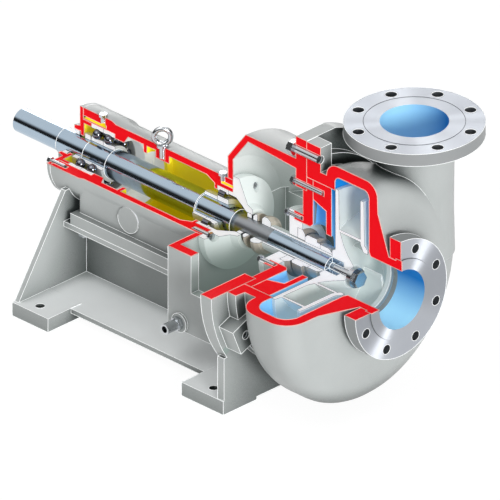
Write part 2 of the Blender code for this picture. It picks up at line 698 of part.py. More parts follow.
def build_bearing_housing():
    """Round housing on a flat foot, with two bearing seats and the oil space between them."""
    barrel = turned("bearing_housing", [
        (X_HOUSING_REAR, 0), (X_HOUSING_REAR, COLLAR_RADIUS),
        (X_HOUSING_REAR + COLLAR_LENGTH, COLLAR_RADIUS),
        (X_HOUSING_REAR + COLLAR_LENGTH + COLLAR_CHAMFER, HOUSING_RADIUS),
        (X_HOUSING_FRONT, HOUSING_RADIUS), (X_HOUSING_FRONT, 0),
    ], SIDES_LARGE)
    x_front = X_LANTERN_REAR - FIT
    lower_body = block("lower_body", (X_HOUSING_REAR + COLLAR_LENGTH - OVERCUT, x_front),
                       (-SIDE_HALF_WIDTH, SIDE_HALF_WIDTH), (Z_FOOT + OVERCUT, OVERCUT))
    foot = block("foot", (X_HOUSING_REAR + FOOT_SETBACK, x_front),
                 (-FOOT_HALF_WIDTH, FOOT_HALF_WIDTH), (Z_FOOT, -FOOT_TOP))
    boss_reach = SIDE_HALF_WIDTH + SIDE_BOSS_HEIGHT
    side_boss = rod("side_boss", (X_OIL_SPACE + SIDE_BOSS_PLACE, -boss_reach, -SIDE_BOSS_DROP), (0, 1, 0),
                    2 * boss_reach, SIDE_BOSS_RADIUS, SIDES_LARGE)
    x_bulkhead = X_OIL_SPACE + BULKHEAD_PLACE
    x_bulkhead_end = x_bulkhead + BULKHEAD_THICKNESS
    bore = turned("housing_bore", [
        (X_HOUSING_REAR - OVERCUT, 0),
        (X_HOUSING_REAR - OVERCUT, BALL_BEARING_RADIUS + FIT),
        (X_SHOULDER, BALL_BEARING_RADIUS + FIT),
        (X_SHOULDER, SHOULDER_RADIUS),
        (X_OIL_SPACE, SHOULDER_RADIUS),
        (X_OIL_SPACE + OIL_SPACE_FILLET, OIL_SPACE_RADIUS),
        (x_bulkhead, OIL_SPACE_RADIUS),
        (x_bulkhead, SHOULDER_RADIUS),
        (x_bulkhead_end, SHOULDER_RADIUS),
        (x_bulkhead_end, OIL_SPACE_RADIUS),
        (X_OIL_END - 2 * OIL_SPACE_FILLET, OIL_SPACE_RADIUS),
        (X_OIL_END, OIL_SPACE_RADIUS - OIL_SPACE_FILLET),
        (X_OIL_END, FRONT_SHOULDER_RADIUS),
        (X_ROLLERS - FIT, FRONT_SHOULDER_RADIUS),
        (X_ROLLERS - FIT, ROLLER_BEARING_RADIUS + FIT),
        (X_HOUSING_FRONT + OVERCUT, ROLLER_BEARING_RADIUS + FIT),
        (X_HOUSING_FRONT + OVERCUT, 0),
    ], SIDES_LARGE)
    sump_width = (-SUMP_HALF_WIDTH, SUMP_HALF_WIDTH)
    sump_height = (-SUMP_DEPTH, -OVERCUT)
    rear_sump = block("rear_sump", (X_OIL_SPACE + OVERCUT, x_bulkhead - FIT), sump_width, sump_height)
    front_sump = block("front_sump", (x_bulkhead_end + FIT, X_OIL_END - OVERCUT), sump_width, sump_height)
    eye_boss = rod("eye_boss", (X_EYE_BOLT, 0, EYE_BOSS_BOTTOM), (0, 0, 1),
                   HOUSING_RADIUS - OVERCUT - EYE_BOSS_BOTTOM, EYE_BOSS_RADIUS)
    half_gallery = GALLERY_WIDTH / 2
    gallery_top = GALLERY_RADIUS + GALLERY_HEIGHT
    galleries = [
        block("rear_gallery", (X_HOUSING_REAR - OVERCUT, X_HOUSING_REAR + REAR_GALLERY_LENGTH),
              (-half_gallery, half_gallery), (GALLERY_RADIUS, gallery_top)),
        block("front_gallery", (X_HOUSING_FRONT - FRONT_GALLERY_LENGTH, X_HOUSING_FRONT + OVERCUT),
              (-half_gallery, half_gallery), (GALLERY_RADIUS, gallery_top)),
    ]
    holes = [
        rod(f"{name}_hole", (x, 0, gallery_top - 1 * MM), (0, 0, 1), COLLAR_RADIUS - gallery_top + OVERCUT,
            PLUG_RADIUS + FIT)
        for name, x, seat in plug_places()
    ]
    holes.append(rod("eye_bolt_hole", (X_EYE_BOLT, 0, HOUSING_RADIUS - EYE_TAP_DEPTH), (0, 0, 1),
                     EYE_TAP_DEPTH + OVERCUT, EYE_SHANK_RADIUS + FIT))
    holes += [
        rod(f"{name}_tapped", (x, y, Z_FOOT - OVERCUT), (0, 0, 1), FOOT_TAP_DEPTH + OVERCUT,
            FOOT_BOLT_RADIUS + FIT)
        for name, x, y in foot_bolt_places()
    ]
    hole = COVER_BOLT_RADIUS + FIT
    holes += bolt_holes("rear_tapped", X_HOUSING_REAR - OVERCUT, X_HOUSING_REAR + COVER_THREAD_DEPTH,
                        COVER_BOLT_CIRCLE, hole, COVER_BOLT_ANGLES)
    holes += bolt_holes("front_tapped", X_HOUSING_FRONT - COVER_THREAD_DEPTH, X_HOUSING_FRONT + OVERCUT,
                        COVER_BOLT_CIRCLE, hole, COVER_BOLT_ANGLES)
    piece("bearing_housing", barrel, CAST, (ADD, lower_body, foot, side_boss), (CUT, bore, rear_sump, front_sump),
          (ADD, eye_boss), (CUT, *galleries, *holes), opened=True)


def build_bearing_covers():
    """The flat rear cover, and the dished front cover that faces the shaft seal."""
    hole = COVER_BOLT_RADIUS + FIT
    x1 = X_COVER_FACE
    x2 = x1 + COVER_PLATE
    x3 = X_BALLS_A - FIT
    spigot = BALL_BEARING_RADIUS
    throat = THREAD_RADIUS + 3 * MM
    rear = turned("rear_bearing_cover", [
        (STUB_LENGTH, REAR_SEAL_RADIUS), (STUB_LENGTH, REAR_SEAL_RADIUS + COVER_WALL),
        (x1, REAR_SEAL_RADIUS + 1.5 * COVER_WALL), (x1, COLLAR_RADIUS), (x2, COLLAR_RADIUS), (x2, spigot),
        (x3, spigot), (x3, spigot - COVER_WALL), (x2 + SEAL_INSET, spigot - COVER_WALL),
        (x2 + SEAL_INSET, throat), (x1 + SEAL_INSET, throat), (x1 + SEAL_INSET, REAR_SEAL_RADIUS),
    ], SIDES_LARGE)
    holes = bolt_holes("rear_cover_hole", x1 - OVERCUT, x2 + OVERCUT, COVER_BOLT_CIRCLE, hole, COVER_BOLT_ANGLES)
    piece("rear_bearing_cover", rear, CAST, (CUT, *holes), opened=True)
    seal = ring("rear_oil_seal", STUB_LENGTH + SEAL_INSET, STUB_LENGTH + SEAL_INSET + SEAL_WIDTH,
                THREAD_RADIUS + RUNNING, REAR_SEAL_RADIUS - FIT, SIDES_LARGE)
    piece("rear_oil_seal", seal, RUBBER, opened=True)
    grip = COVER_PLATE + COVER_THREAD_DEPTH - OVERCUT
    bolts("rear_cover_bolt", x1, -1, COVER_BOLT_CIRCLE, COVER_BOLT_RADIUS, grip, COVER_BOLT_ANGLES)

    back = X_HOUSING_FRONT + FIT
    land = X_ROLLERS_END + FIT
    spigot = ROLLER_BEARING_RADIUS
    front = turned("front_bearing_cover", [
        (land, spigot - COVER_WALL), (land, spigot), (back, spigot), (back, FRONT_COVER_RADIUS),
        (X_COVER_RIM, FRONT_COVER_RADIUS), (X_COVER_HUB, FRONT_HUB_RADIUS + 6 * MM),
        (X_COVER_END, FRONT_HUB_RADIUS), (X_COVER_END, FRONT_SEAL_RADIUS),
        (X_COVER_END - SEAL_WIDTH - 2 * SEAL_INSET - RUNNING, FRONT_SEAL_RADIUS),
        (X_COVER_RIM + COVER_WALL, FRONT_HUB_RADIUS), (back + COVER_WALL, spigot - COVER_WALL),
    ], SIDES_LARGE)
    spot = X_COVER_RIM - SPOT_FACE_DEPTH
    holes = bolt_holes("front_cover_hole", back - OVERCUT, spot + OVERCUT, COVER_BOLT_CIRCLE, hole,
                       COVER_BOLT_ANGLES)
    holes += bolt_holes("spot_face", spot, X_COVER_END, COVER_BOLT_CIRCLE,
                        SPOT_FACE_RADIUS * COVER_BOLT_RADIUS, COVER_BOLT_ANGLES)
    piece("front_bearing_cover", front, CAST, (CUT, *holes), opened=True)
    x_seal = X_COVER_END - SEAL_INSET - SEAL_WIDTH
    seal = ring("front_oil_seal", x_seal, x_seal + SEAL_WIDTH,
                FRONT_RADIUS + RUNNING, FRONT_SEAL_RADIUS - FIT, SIDES_LARGE)
    piece("front_oil_seal", seal, RUBBER, opened=True)
    grip = spot - X_HOUSING_FRONT + COVER_THREAD_DEPTH - OVERCUT
    bolts("front_cover_bolt", spot, 1, COVER_BOLT_CIRCLE, COVER_BOLT_RADIUS, grip, COVER_BOLT_ANGLES)


def upper_half(name, outline, lower_edge):
    """A turned solid cut off below, as the lantern's upper shell is."""
    x0 = outline[0][0] - OVERCUT
    x1 = outline[-1][0] + OVERCUT
    below = block(f"{name}_below", (x0, x1), (-FLANGE_RADIUS, FLANGE_RADIUS), (-FLANGE_RADIUS, lower_edge))
    return shaped(turned(name, outline, SIDES_LARGE), (CUT, below))


def lantern_shell():
    """Half barrel above and box below, hollowed together, with a window in each side."""
    x0 = X_LANTERN_REAR
    x_full = X_HOUSING_FRONT + CONE_LENGTH
    x_end = X_LANTERN_FLANGE + OVERCUT
    x_past = X_JOINT + OVERCUT
    seam = BOX_TOP / 2
    barrel = upper_half("pedestal_frame", [
        (x0, 0), (x0, CONE_START_RADIUS), (x_full, BARREL_RADIUS), (x_end, BARREL_RADIUS), (x_end, 0),
    ], seam)
    box = block("lantern_box", (x0, x_end), (-BOX_HALF_WIDTH, BOX_HALF_WIDTH), (-BOX_DEPTH, BOX_TOP))
    inner = BARREL_RADIUS - BARREL_WALL
    cavity = upper_half("lantern_cavity", [
        (X_HOUSING_FRONT, 0), (X_HOUSING_FRONT, CONE_START_RADIUS - 2 * MM),
        (x_full + BARREL_WALL / 2, inner), (x_past, inner - BARREL_THICKENING), (x_past, 0),
    ], seam)
    inner_width = BOX_HALF_WIDTH - BOX_WALL
    well = block("lantern_well", (X_HOUSING_FRONT, x_past), (-inner_width, inner_width),
                 (-BOX_DEPTH + BOX_FLOOR, BOX_TOP))
    windows = block("windows", (x0 + COLUMN_LENGTH, x_past), (-FLANGE_RADIUS, FLANGE_RADIUS),
                    (-WINDOW_HALF_HEIGHT, WINDOW_HALF_HEIGHT))
    return shaped(barrel, (ADD, box), (CUT, cavity, well, windows))


def build_pedestal_frame():
    """Base, walls and lantern, cast in one; the lantern carries the casing on its front flange."""
    x0 = X_LANTERN_REAR
    x_base = BASE_SETBACK
    floor_low = Z_PAD_TOP - FLOOR_THICKNESS
    wall_low = Z_PAD_TOP - FLOOR_THICKNESS / 2
    pad_inner = BASE_HALF_WIDTH - PAD_WIDTH
    wall_inner = WALL_SPREAD - WALL_THICKNESS
    pad_height = (Z_FLOOR, Z_PAD_TOP)
    gusset_foot = BASE_HALF_WIDTH - 2 * MM
    gusset_low = wall_low - 2 * MM
    gusset = plate("gusset", [
        (-gusset_foot, gusset_low), (gusset_foot, gusset_low),
        (COLLAR_RADIUS + 2 * MM, -GUSSET_TOP), (-COLLAR_RADIUS - 2 * MM, -GUSSET_TOP),
    ], GUSSET_THICKNESS, Matrix.Translation((x_base + GUSSET_THICKNESS / 2, 0, 0)) @ ACROSS)
    boss_face = -BOX_HALF_WIDTH - NIPPLE_BOSS_HEIGHT
    castings = [
        ring("lantern_flange", X_LANTERN_FLANGE, X_JOINT, FLANGE_BORE, FLANGE_RADIUS, SIDES_LARGE),
        block("floor_plate", (x_base + 1 * MM, X_JOINT - 1 * MM), (-FLOOR_HALF_WIDTH, FLOOR_HALF_WIDTH),
              (floor_low, Z_PAD_TOP - 1 * MM)),
        block("front_wall", (X_JOINT - FRONT_WALL, X_JOINT), (-gusset_foot, gusset_foot),
              (Z_FLOOR + FRONT_WALL_LIFT, -FRONT_WALL_TOP)),
        block("deck", (x_base + 2 * MM, x0 + 2 * MM), (-FOOT_HALF_WIDTH, FOOT_HALF_WIDTH), (Z_DECK_LOW, Z_DECK)),
        gusset,
        rod("drain_boss", (X_DRAIN, boss_face, -DRAIN_DEPTH), (0, 1, 0),
            NIPPLE_BOSS_HEIGHT + BOX_WALL / 2, NIPPLE_BOSS_RADIUS, SIDES_SMALL),
        *both_sides("rear_pad", (x_base, x_base + REAR_PAD_LENGTH), pad_inner, BASE_HALF_WIDTH, pad_height),
        *both_sides("front_pad", (X_JOINT - FRONT_PAD_LENGTH, X_JOINT), pad_inner, BASE_HALF_WIDTH, pad_height),
        *both_sides("rear_wall", (x_base + 3 * MM, x0 + BACK_WALL / 2), wall_inner, WALL_SPREAD,
                    (wall_low, Z_DECK_LOW + 3 * MM)),
        *both_sides("front_web", (x0 + 3 * MM, X_JOINT - FRONT_WALL / 2), wall_inner, WALL_SPREAD,
                    (wall_low, -BOX_DEPTH + BOX_FLOOR / 2)),
    ]
    x_collar_past = X_HOUSING_REAR + COLLAR_LENGTH
    x_past = X_JOINT + OVERCUT
    cuts = [
        core("housing_hole", x0 - OVERCUT, X_HOUSING_FRONT + OVERCUT, HOUSING_RADIUS + FIT, SIDES_LARGE),
        core("collar_seat", X_HOUSING_REAR, x_collar_past, COLLAR_RADIUS + FIT, SIDES_LARGE),
        block("flange_flat", (X_LANTERN_FLANGE - OVERCUT, x_past), (-FLANGE_RADIUS, FLANGE_RADIUS),
              (FLANGE_FLAT, FLANGE_RADIUS + OVERCUT)),
        block("core_opening", (x_base + CORE_INSET, X_JOINT - CORE_INSET), (-CORE_HALF_WIDTH, CORE_HALF_WIDTH),
              (floor_low - OVERCUT, Z_PAD_TOP + OVERCUT)),
        rod("drain_hole", (X_DRAIN, boss_face - OVERCUT, -DRAIN_DEPTH), (0, 1, 0),
            NIPPLE_BOSS_HEIGHT + BOX_WALL + 2 * OVERCUT, NIPPLE_RADIUS + FIT),
        *bolt_holes("frame_bolt_hole", X_LANTERN_FLANGE - OVERCUT, x_past, CASING_BOLT_CIRCLE,
                    CASING_BOLT_RADIUS + FIT, LUG_ANGLES),
        *bolt_holes("frame_stud_hole", X_LANTERN_FLANGE - OVERCUT, x_past, COVER_STUD_CIRCLE,
                    COVER_STUD_RADIUS + FIT, COVER_STUD_ANGLES),
    ]
    cuts += [
        rod(f"{name}_deck_hole", (x, y, Z_DECK_LOW - OVERCUT), (0, 0, 1), DECK_THICKNESS + 2 * OVERCUT,
            FOOT_BOLT_RADIUS + FIT)
        for name, x, y in foot_bolt_places()
    ]
    cuts += [
        rod(name, (x, y, Z_FLOOR - OVERCUT), (0, 0, 1), PAD_THICKNESS + 2 * OVERCUT, ANCHOR_HOLE_RADIUS)
        for name, x, y in anchor_places()
    ]
    piece("pedestal_frame", lantern_shell(), CAST, (ADD, *castings), (CUT, *cuts), opened=True)


def volute_reach(angle):
    """Outer radius of the volute: a fast-opening spiral up to the far side, then back behind the branch."""
    if angle <= 270:
        return VOLUTE_START_RADIUS + VOLUTE_GROWTH * (angle / 270) ** 0.2
    return VOLUTE_START_RADIUS + VOLUTE_GROWTH * max(0, 1 - (angle - 270) / 60)


def corner_arc(x, radius, size, first, steps=3):
    """Points of a rounded quarter corner of the volute section, from the first angle in degrees."""
    turns = [math.radians(first - 90 * step / steps) for step in range(steps + 1)]
    return [(x + size * math.cos(turn), radius + size * math.sin(turn)) for turn in turns]


def outer_section(angle):
    reach = volute_reach(angle)
    size = VOLUTE_CORNER + CORNER_GROWTH * (reach - VOLUTE_START_RADIUS)
    back = X_CASING + VOLUTE_BACK
    front = X_CASING + VOLUTE_FRONT
    inside = SUCTION_BORE - BORE_LIP
    x_neck = X_SUCTION - NECK_LENGTH
    x_stub = X_SUCTION - STUB_END_LENGTH
    return [
        (back, inside), (back, CASING_GROOVE_RADIUS - OVERCUT),
        *corner_arc(back + size, reach - size, size, 180),
        *corner_arc(front - size, reach - size, size, 90),
        (front + 1 * MM, FRONT_CONE_RADIUS), (x_neck, NECK_RADIUS + NECK_FLARE), (x_neck + OVERCUT, NECK_RADIUS),
        (x_stub, NECK_RADIUS), (x_stub, STUB_END_RADIUS), (X_SUCTION, STUB_END_RADIUS), (X_SUCTION, inside),
    ]


def inner_section(angle):
    reach = volute_reach(angle) - VOLUTE_WALL
    size = CHAMBER_CORNER + CORNER_GROWTH * (reach + VOLUTE_WALL - VOLUTE_START_RADIUS)
    back = X_CASING + VOLUTE_BACK + VOLUTE_WALL
    front = X_CASING + VOLUTE_FRONT - VOLUTE_WALL
    inside = SUCTION_BORE - 2 * BORE_LIP
    return [
        (X_CASING - OVERCUT, inside), (X_CASING - OVERCUT, REGISTER_RADIUS), (back, REGISTER_RADIUS),
        *corner_arc(back + size, reach - size, size, 180),
        *corner_arc(front - size, reach - size, size, 90),
        (front, SUCTION_BORE + BORE_LIP), (front + BORE_LIP / 2, SUCTION_BORE),
        (X_SUCTION + OVERCUT, SUCTION_BORE), (X_SUCTION + OVERCUT, inside),
    ]


def bridge(shape, loops):
    for near, far in zip(loops, loops[1:]):
        for index in range(len(near)):
            after = (index + 1) % len(near)
            shape.faces.new((near[index], near[after], far[after], far[index]))


def ring_loft(name, section, sides):
    """Loft a closed section, which changes with its angle round the shaft, into a closed ring."""
    shape = bmesh.new()
    loops = []
    for step in range(sides):
        angle = 360 * (step + 0.5) / sides
        points = [(x, *around(angle, radius)) for x, radius in section(angle)]
        loops.append([shape.verts.new(point) for point in points])
    bridge(shape, loops + loops[:1])
    bmesh.ops.recalc_face_normals(shape, faces=shape.faces)
    return from_bmesh(name, shape)


def branch_loft(name, stations, sides=SIDES_LARGE):
    """Loft ellipses (height, centre x, centre y, half size x, half size y) into the discharge branch."""
    shape = bmesh.new()
    turns = [2 * math.pi * (step + 0.5) / sides for step in range(sides)]
    loops = [
        [shape.verts.new((x + half_x * math.cos(turn), y + half_y * math.sin(turn), height)) for turn in turns]
        for height, x, y, half_x, half_y in stations
    ]
    bridge(shape, loops)
    shape.faces.new(loops[0])
    shape.faces.new(loops[-1])
    bmesh.ops.recalc_face_normals(shape, faces=shape.faces)
    return from_bmesh(name, shape)


DISCHARGE_AXIS = Matrix.Translation((X_DISCHARGE, DISCHARGE_OFFSET, 0))


def discharge_branch():
    """Outside, raised end and bore of the branch, which rises from an oblong section to a round neck."""
    x = X_DISCHARGE
    y = DISCHARGE_OFFSET
    x_mid = X_CASING + (VOLUTE_BACK + VOLUTE_FRONT) / 2
    half_x = (VOLUTE_FRONT - VOLUTE_BACK) / 2
    half_y = VOLUTE_START_RADIUS + VOLUTE_GROWTH - y - 6 * MM
    low = -2 * OVERCUT
    top = DISCHARGE_HEIGHT
    stub_low = top - DISCHARGE_STUB_LENGTH
    neck = DISCHARGE_NECK_RADIUS - 1 * MM
    outside = branch_loft("discharge_branch", [
        (low, x_mid, y + 5 * MM, half_x, half_y),
        (0.3 * top, x_mid, y + 5 * MM, half_x - 3 * MM, half_y - 1 * MM),
        (0.65 * top, x, y + 2 * MM, half_x + 5 * MM, half_y),
        (stub_low + OVERCUT, x, y, neck, neck),
    ])
    bore_x = half_x - VOLUTE_WALL
    bore_y = half_y - VOLUTE_WALL - 6 * MM
    bore = branch_loft("discharge_bore", [
        (low, x_mid, y + 8 * MM, bore_x, bore_y),
        (0.35 * top, x_mid, y + 6 * MM, bore_x, bore_y),
        (stub_low, x, y, DISCHARGE_BORE, DISCHARGE_BORE),
        (top + OVERCUT, x, y, DISCHARGE_BORE, DISCHARGE_BORE),
    ])
    stub = core("discharge_stub", stub_low, top, DISCHARGE_STUB_RADIUS, SIDES_LARGE, DISCHARGE_AXIS)
    return outside, stub, bore


def build_volute_casing():
    """The casing: a lofted spiral with the suction neck, discharge branch, joint flange and lugs."""
    x_flange = X_CASING + CASING_FLANGE_THICKNESS
    x_volute = X_CASING + VOLUTE_BACK + 2 * OVERCUT
    flange = turned("casing_flange", [
        (X_CASING, SUCTION_BORE), (X_CASING, CASING_FLANGE_RADIUS), (x_flange, CASING_FLANGE_RADIUS),
        (x_flange + 2 * MM, CASING_GROOVE_RADIUS), (x_volute, CASING_GROOVE_RADIUS), (x_volute, SUCTION_BORE),
    ], SIDES_LARGE)
    lugs = []
    for angle in LUG_ANGLES:
        lug = block(f"lug_{angle:g}", (X_CASING, X_CASING + LUG_LENGTH), (-LUG_WIDTH / 2, LUG_WIDTH / 2),
                    (CASING_GROOVE_RADIUS - 2 * OVERCUT, LUG_RADIUS))
        lug.data.transform(Matrix.Rotation(math.radians(angle), 4, "X"))
        lugs.append(lug)
    outside, stub, bore = discharge_branch()
    holes = bolt_holes("lug_hole", X_CASING - OVERCUT, X_CASING + LUG_LENGTH + OVERCUT, CASING_BOLT_CIRCLE,
                       CASING_BOLT_RADIUS + FIT, LUG_ANGLES)
    cavity = ring_loft("volute_cavity", inner_section, SIDES_LARGE)
    body = ring_loft("volute_casing", outer_section, SIDES_LARGE)
    piece("volute_casing", body, CAST, (ADD, flange, outside, stub, *lugs), (CUT, cavity, bore, *holes), opened=True)


def build_pipe_flanges():
    """Loose flanges behind the raised ends of the suction neck and the discharge branch."""
    x1 = X_SUCTION - SUCTION_FLANGE_RECESS
    x0 = x1 - SUCTION_FLANGE_THICKNESS
    step = X_SUCTION - STUB_END_LENGTH - FIT
    suction = turned("suction_flange", [
        (x0, NECK_RADIUS + FIT), (x0, SUCTION_FLANGE_RADIUS), (x1, SUCTION_FLANGE_RADIUS),
        (x1, STUB_END_RADIUS + FIT), (step, STUB_END_RADIUS + FIT), (step, NECK_RADIUS + FIT),
    ], SIDES_LARGE)
    holes = pipe_holes("suction_hole", SUCTION_BOLT_CIRCLE, SUCTION_HOLE_RADIUS, (x0 - OVERCUT, 0, 0),
                       (1, 0, 0), SUCTION_FLANGE_THICKNESS + 2 * OVERCUT)
    screw_x = x0 + FLANGE_SCREW_PLACE
    screw_low = -SUCTION_FLANGE_RADIUS - FLANGE_SCREW_REACH
    screw_length = FLANGE_SCREW_REACH + FLANGE_SCREW_DEPTH
    screw_hole = rod("flange_screw_hole", (screw_x, 0, screw_low - OVERCUT), (0, 0, 1),
                     screw_length + OVERCUT + FIT, FLANGE_SCREW_RADIUS + FIT)
    piece("suction_flange", suction, MACHINED, (CUT, screw_hole, *holes), opened=True)
    screw = rod("flange_screw", (screw_x, 0, screw_low), (0, 0, 1), screw_length, FLANGE_SCREW_RADIUS)
    piece("suction_flange_screw", screw, ZINC)

    top = DISCHARGE_HEIGHT
    low = top - DISCHARGE_FLANGE_THICKNESS
    step = top - DISCHARGE_STUB_LENGTH - FIT
    discharge = turned("discharge_flange", [
        (low, DISCHARGE_NECK_RADIUS + FIT), (low, DISCHARGE_FLANGE_RADIUS), (top, DISCHARGE_FLANGE_RADIUS),
        (top, DISCHARGE_STUB_RADIUS + FIT), (step, DISCHARGE_STUB_RADIUS + FIT),
        (step, DISCHARGE_NECK_RADIUS + FIT),
    ], SIDES_LARGE, DISCHARGE_AXIS)
    holes = pipe_holes("discharge_hole", DISCHARGE_BOLT_CIRCLE, DISCHARGE_HOLE_RADIUS,
                       (X_DISCHARGE, DISCHARGE_OFFSET, low - OVERCUT), (0, 0, 1),
                       DISCHARGE_FLANGE_THICKNESS + 2 * OVERCUT)
    piece("discharge_flange", discharge, MACHINED, (CUT, *holes))


def build_seal_housing():
    """The seal housing clamped in the joint, and the wear plate behind the impeller."""
    rim = REGISTER_RADIUS - FIT
    spigot = FLANGE_BORE - FIT
    flare = SEAL_BORE_FLARE
    housing = turned("seal_housing", [
        (X_SEAL_HUB, SEAL_BORE), (X_SEAL_HUB, SEAL_HUB_RADIUS), (X_SEAL_WALL, SEAL_HUB_RADIUS),
        (X_SEAL_WALL, spigot), (X_CASING, spigot), (X_CASING, rim), (X_SEAL_FRONT, rim),
        (X_SEAL_FRONT, SEAL_BORE + flare), (X_SEAL_FRONT - flare, SEAL_BORE),
    ], SIDES_LARGE)
    stud_hole = COVER_STUD_RADIUS + FIT
    holes = bolt_holes("housing_stud_hole", X_CASING - OVERCUT, X_SEAL_FRONT + OVERCUT, COVER_STUD_CIRCLE,
                       stud_hole, COVER_STUD_ANGLES)
    holes += bolt_holes("gland_tapped", X_SEAL_HUB - OVERCUT, X_SEAL_HUB + GLAND_THREAD_DEPTH,
                        GLAND_BOLT_CIRCLE, GLAND_BOLT_RADIUS + FIT, GLAND_BOLT_ANGLES)
    piece("seal_housing", housing, CAST, (CUT, *holes), opened=True)

    face_back = X_WEAR_FACE - WEAR_FACE
    wear = turned("wear_plate", [
        (X_WEAR_BACK, CHAMBER_RADIUS), (X_WEAR_BACK, rim), (X_WEAR_FACE, rim), (X_WEAR_FACE, WEAR_BORE),
        (face_back, WEAR_BORE), (face_back, CHAMBER_RADIUS - CHAMBER_TAPER),
    ], SIDES_LARGE)
    holes = bolt_holes("wear_stud_hole", X_WEAR_BACK - OVERCUT, X_LANTERN_FLANGE + COVER_STUD_GRIP + 1 * MM,
                       COVER_STUD_CIRCLE, stud_hole, COVER_STUD_ANGLES)
    piece("wear_plate", wear, CAST, (CUT, *holes), opened=True)
    bolts("cover_stud", X_LANTERN_FLANGE, -1, COVER_STUD_CIRCLE, COVER_STUD_RADIUS, COVER_STUD_GRIP,
          COVER_STUD_ANGLES)


def build_gland():
    """The gland plate, whose spigot holds the stationary seal ring in the seal housing."""
    x0 = X_GLAND
    x1 = x0 + GLAND_THICKNESS
    x2 = x1 + GLAND_SPIGOT_LENGTH
    spigot = SEAL_BORE - FIT
    x_seat = x0 + GLAND_SEAT_DEPTH
    seat = GLAND_SEAT_RADIUS + FIT
    gland = turned("gland_plate", [
        (x0, GLAND_BORE), (x0, SEAL_HUB_RADIUS), (x1, SEAL_HUB_RADIUS), (x1, spigot), (x2, spigot),
        (x2, seat), (x_seat, seat), (x_seat, GLAND_BORE),
    ], SIDES_LARGE)
    holes = bolt_holes("gland_hole", x0 - OVERCUT, x1 + OVERCUT, GLAND_BOLT_CIRCLE,
                       GLAND_BOLT_RADIUS + FIT, GLAND_BOLT_ANGLES)
    piece("gland_plate", gland, WHITE_IRON, (CUT, *holes), opened=True)
    bolts("gland_bolt", x0, -1, GLAND_BOLT_CIRCLE, GLAND_BOLT_RADIUS,
          GLAND_THICKNESS + GLAND_THREAD_DEPTH - 2 * MM, GLAND_BOLT_ANGLES)


def build_shaft_seal():
    """The mechanical seal: sleeve and rotary parts on the shaft, stationary ring in the gland."""
    on_shaft = FRONT_RADIUS + FIT
    on_sleeve = SLEEVE_RADIUS + FIT
    flinger = turned("water_flinger", [
        (X_FLINGER, on_shaft), (X_FLINGER, FLINGER_RADIUS - RING_STEP), (X_FLINGER + RING_STEP, FLINGER_RADIUS),
        (X_FLINGER + FLINGER_LENGTH, FLINGER_RADIUS), (X_FLINGER + FLINGER_LENGTH, on_shaft),
    ], SIDES_SMALL)
    piece("water_flinger", flinger, SEAL_BRONZE, opened=True)
    x0 = X_DRIVE_COLLAR
    x1 = x0 + DRIVE_COLLAR_LENGTH
    collar = turned("seal_drive_collar", [
        (x0, on_shaft), (x0, DRIVE_COLLAR_RADIUS - RING_STEP), (x0 + RING_STEP, DRIVE_COLLAR_RADIUS),
        (x1 - RING_END, DRIVE_COLLAR_RADIUS), (x1, DRIVE_COLLAR_RADIUS - RING_STEP), (x1, on_shaft),
    ], SIDES_SMALL)
    piece("seal_drive_collar", collar, SEAL_BRONZE, opened=True)
    sleeve = ring("seal_sleeve", X_SLEEVE, X_SLEEVE_END, on_shaft, SLEEVE_RADIUS, SIDES_SMALL)
    piece("seal_sleeve", sleeve, WHITE_IRON, opened=True)
    x0 = X_STATIONARY
    x1 = x0 + STATIONARY_RING_LENGTH
    stationary = turned("seal_stationary_ring", [
        (x0, GLAND_BORE), (x0, GLAND_SEAT_RADIUS), (x1 - RING_STEP, GLAND_SEAT_RADIUS),
        (x1, GLAND_SEAT_RADIUS - RING_END), (x1, GLAND_BORE),
    ], SIDES_LARGE)
    piece("seal_stationary_ring", stationary, CERAMIC, opened=True)
    x0 = x1 + FIT
    x1 = x0 + ROTARY_RING_LENGTH
    outer = ROTARY_RING_RADIUS
    rotary = turned("seal_rotary_ring", [
        (x0, on_sleeve), (x0, outer - RING_STEP), (x0 + RING_STEP, outer), (x1 - RING_END, outer),
        (x1 - RING_END, outer - RING_STEP), (x1, outer - RING_STEP), (x1, on_sleeve),
    ], SIDES_SMALL)
    piece("seal_rotary_ring", rotary, CERAMIC, opened=True)
    x0 = x1 + FIT
    retainer = turned("seal_retainer", [
        (x0, on_sleeve), (x0, RETAINER_RADIUS), (X_SLEEVE_END - RING_END, RETAINER_RADIUS),
        (X_SLEEVE_END, RETAINER_RADIUS - RING_STEP), (X_SLEEVE_END, on_sleeve),
    ], SIDES_SMALL)
    piece("seal_retainer", retainer, SEAL_BRONZE, opened=True)


def spiral_point(radius, lead):
    """A point of a backward-curved vane, as an equiangular spiral."""
    span = math.log((IMPELLER_RADIUS - VANE_END_GAP) / VANE_START_RADIUS)
    turn = lead - VANE_WRAP * math.log(radius / VANE_START_RADIUS) / span
    return radius * math.cos(turn), radius * math.sin(turn)


def vane_outline(lead, steps=6):
    end = IMPELLER_RADIUS - VANE_END_GAP
    radii = [VANE_START_RADIUS * (end / VANE_START_RADIUS) ** (step / steps) for step in range(steps + 1)]
    half = VANE_THICKNESS / 2
    pressure_side = [spiral_point(radius, lead + half / radius) for radius in radii]
    suction_side = [spiral_point(radius, lead - half / radius) for radius in reversed(radii)]
    return pressure_side + suction_side


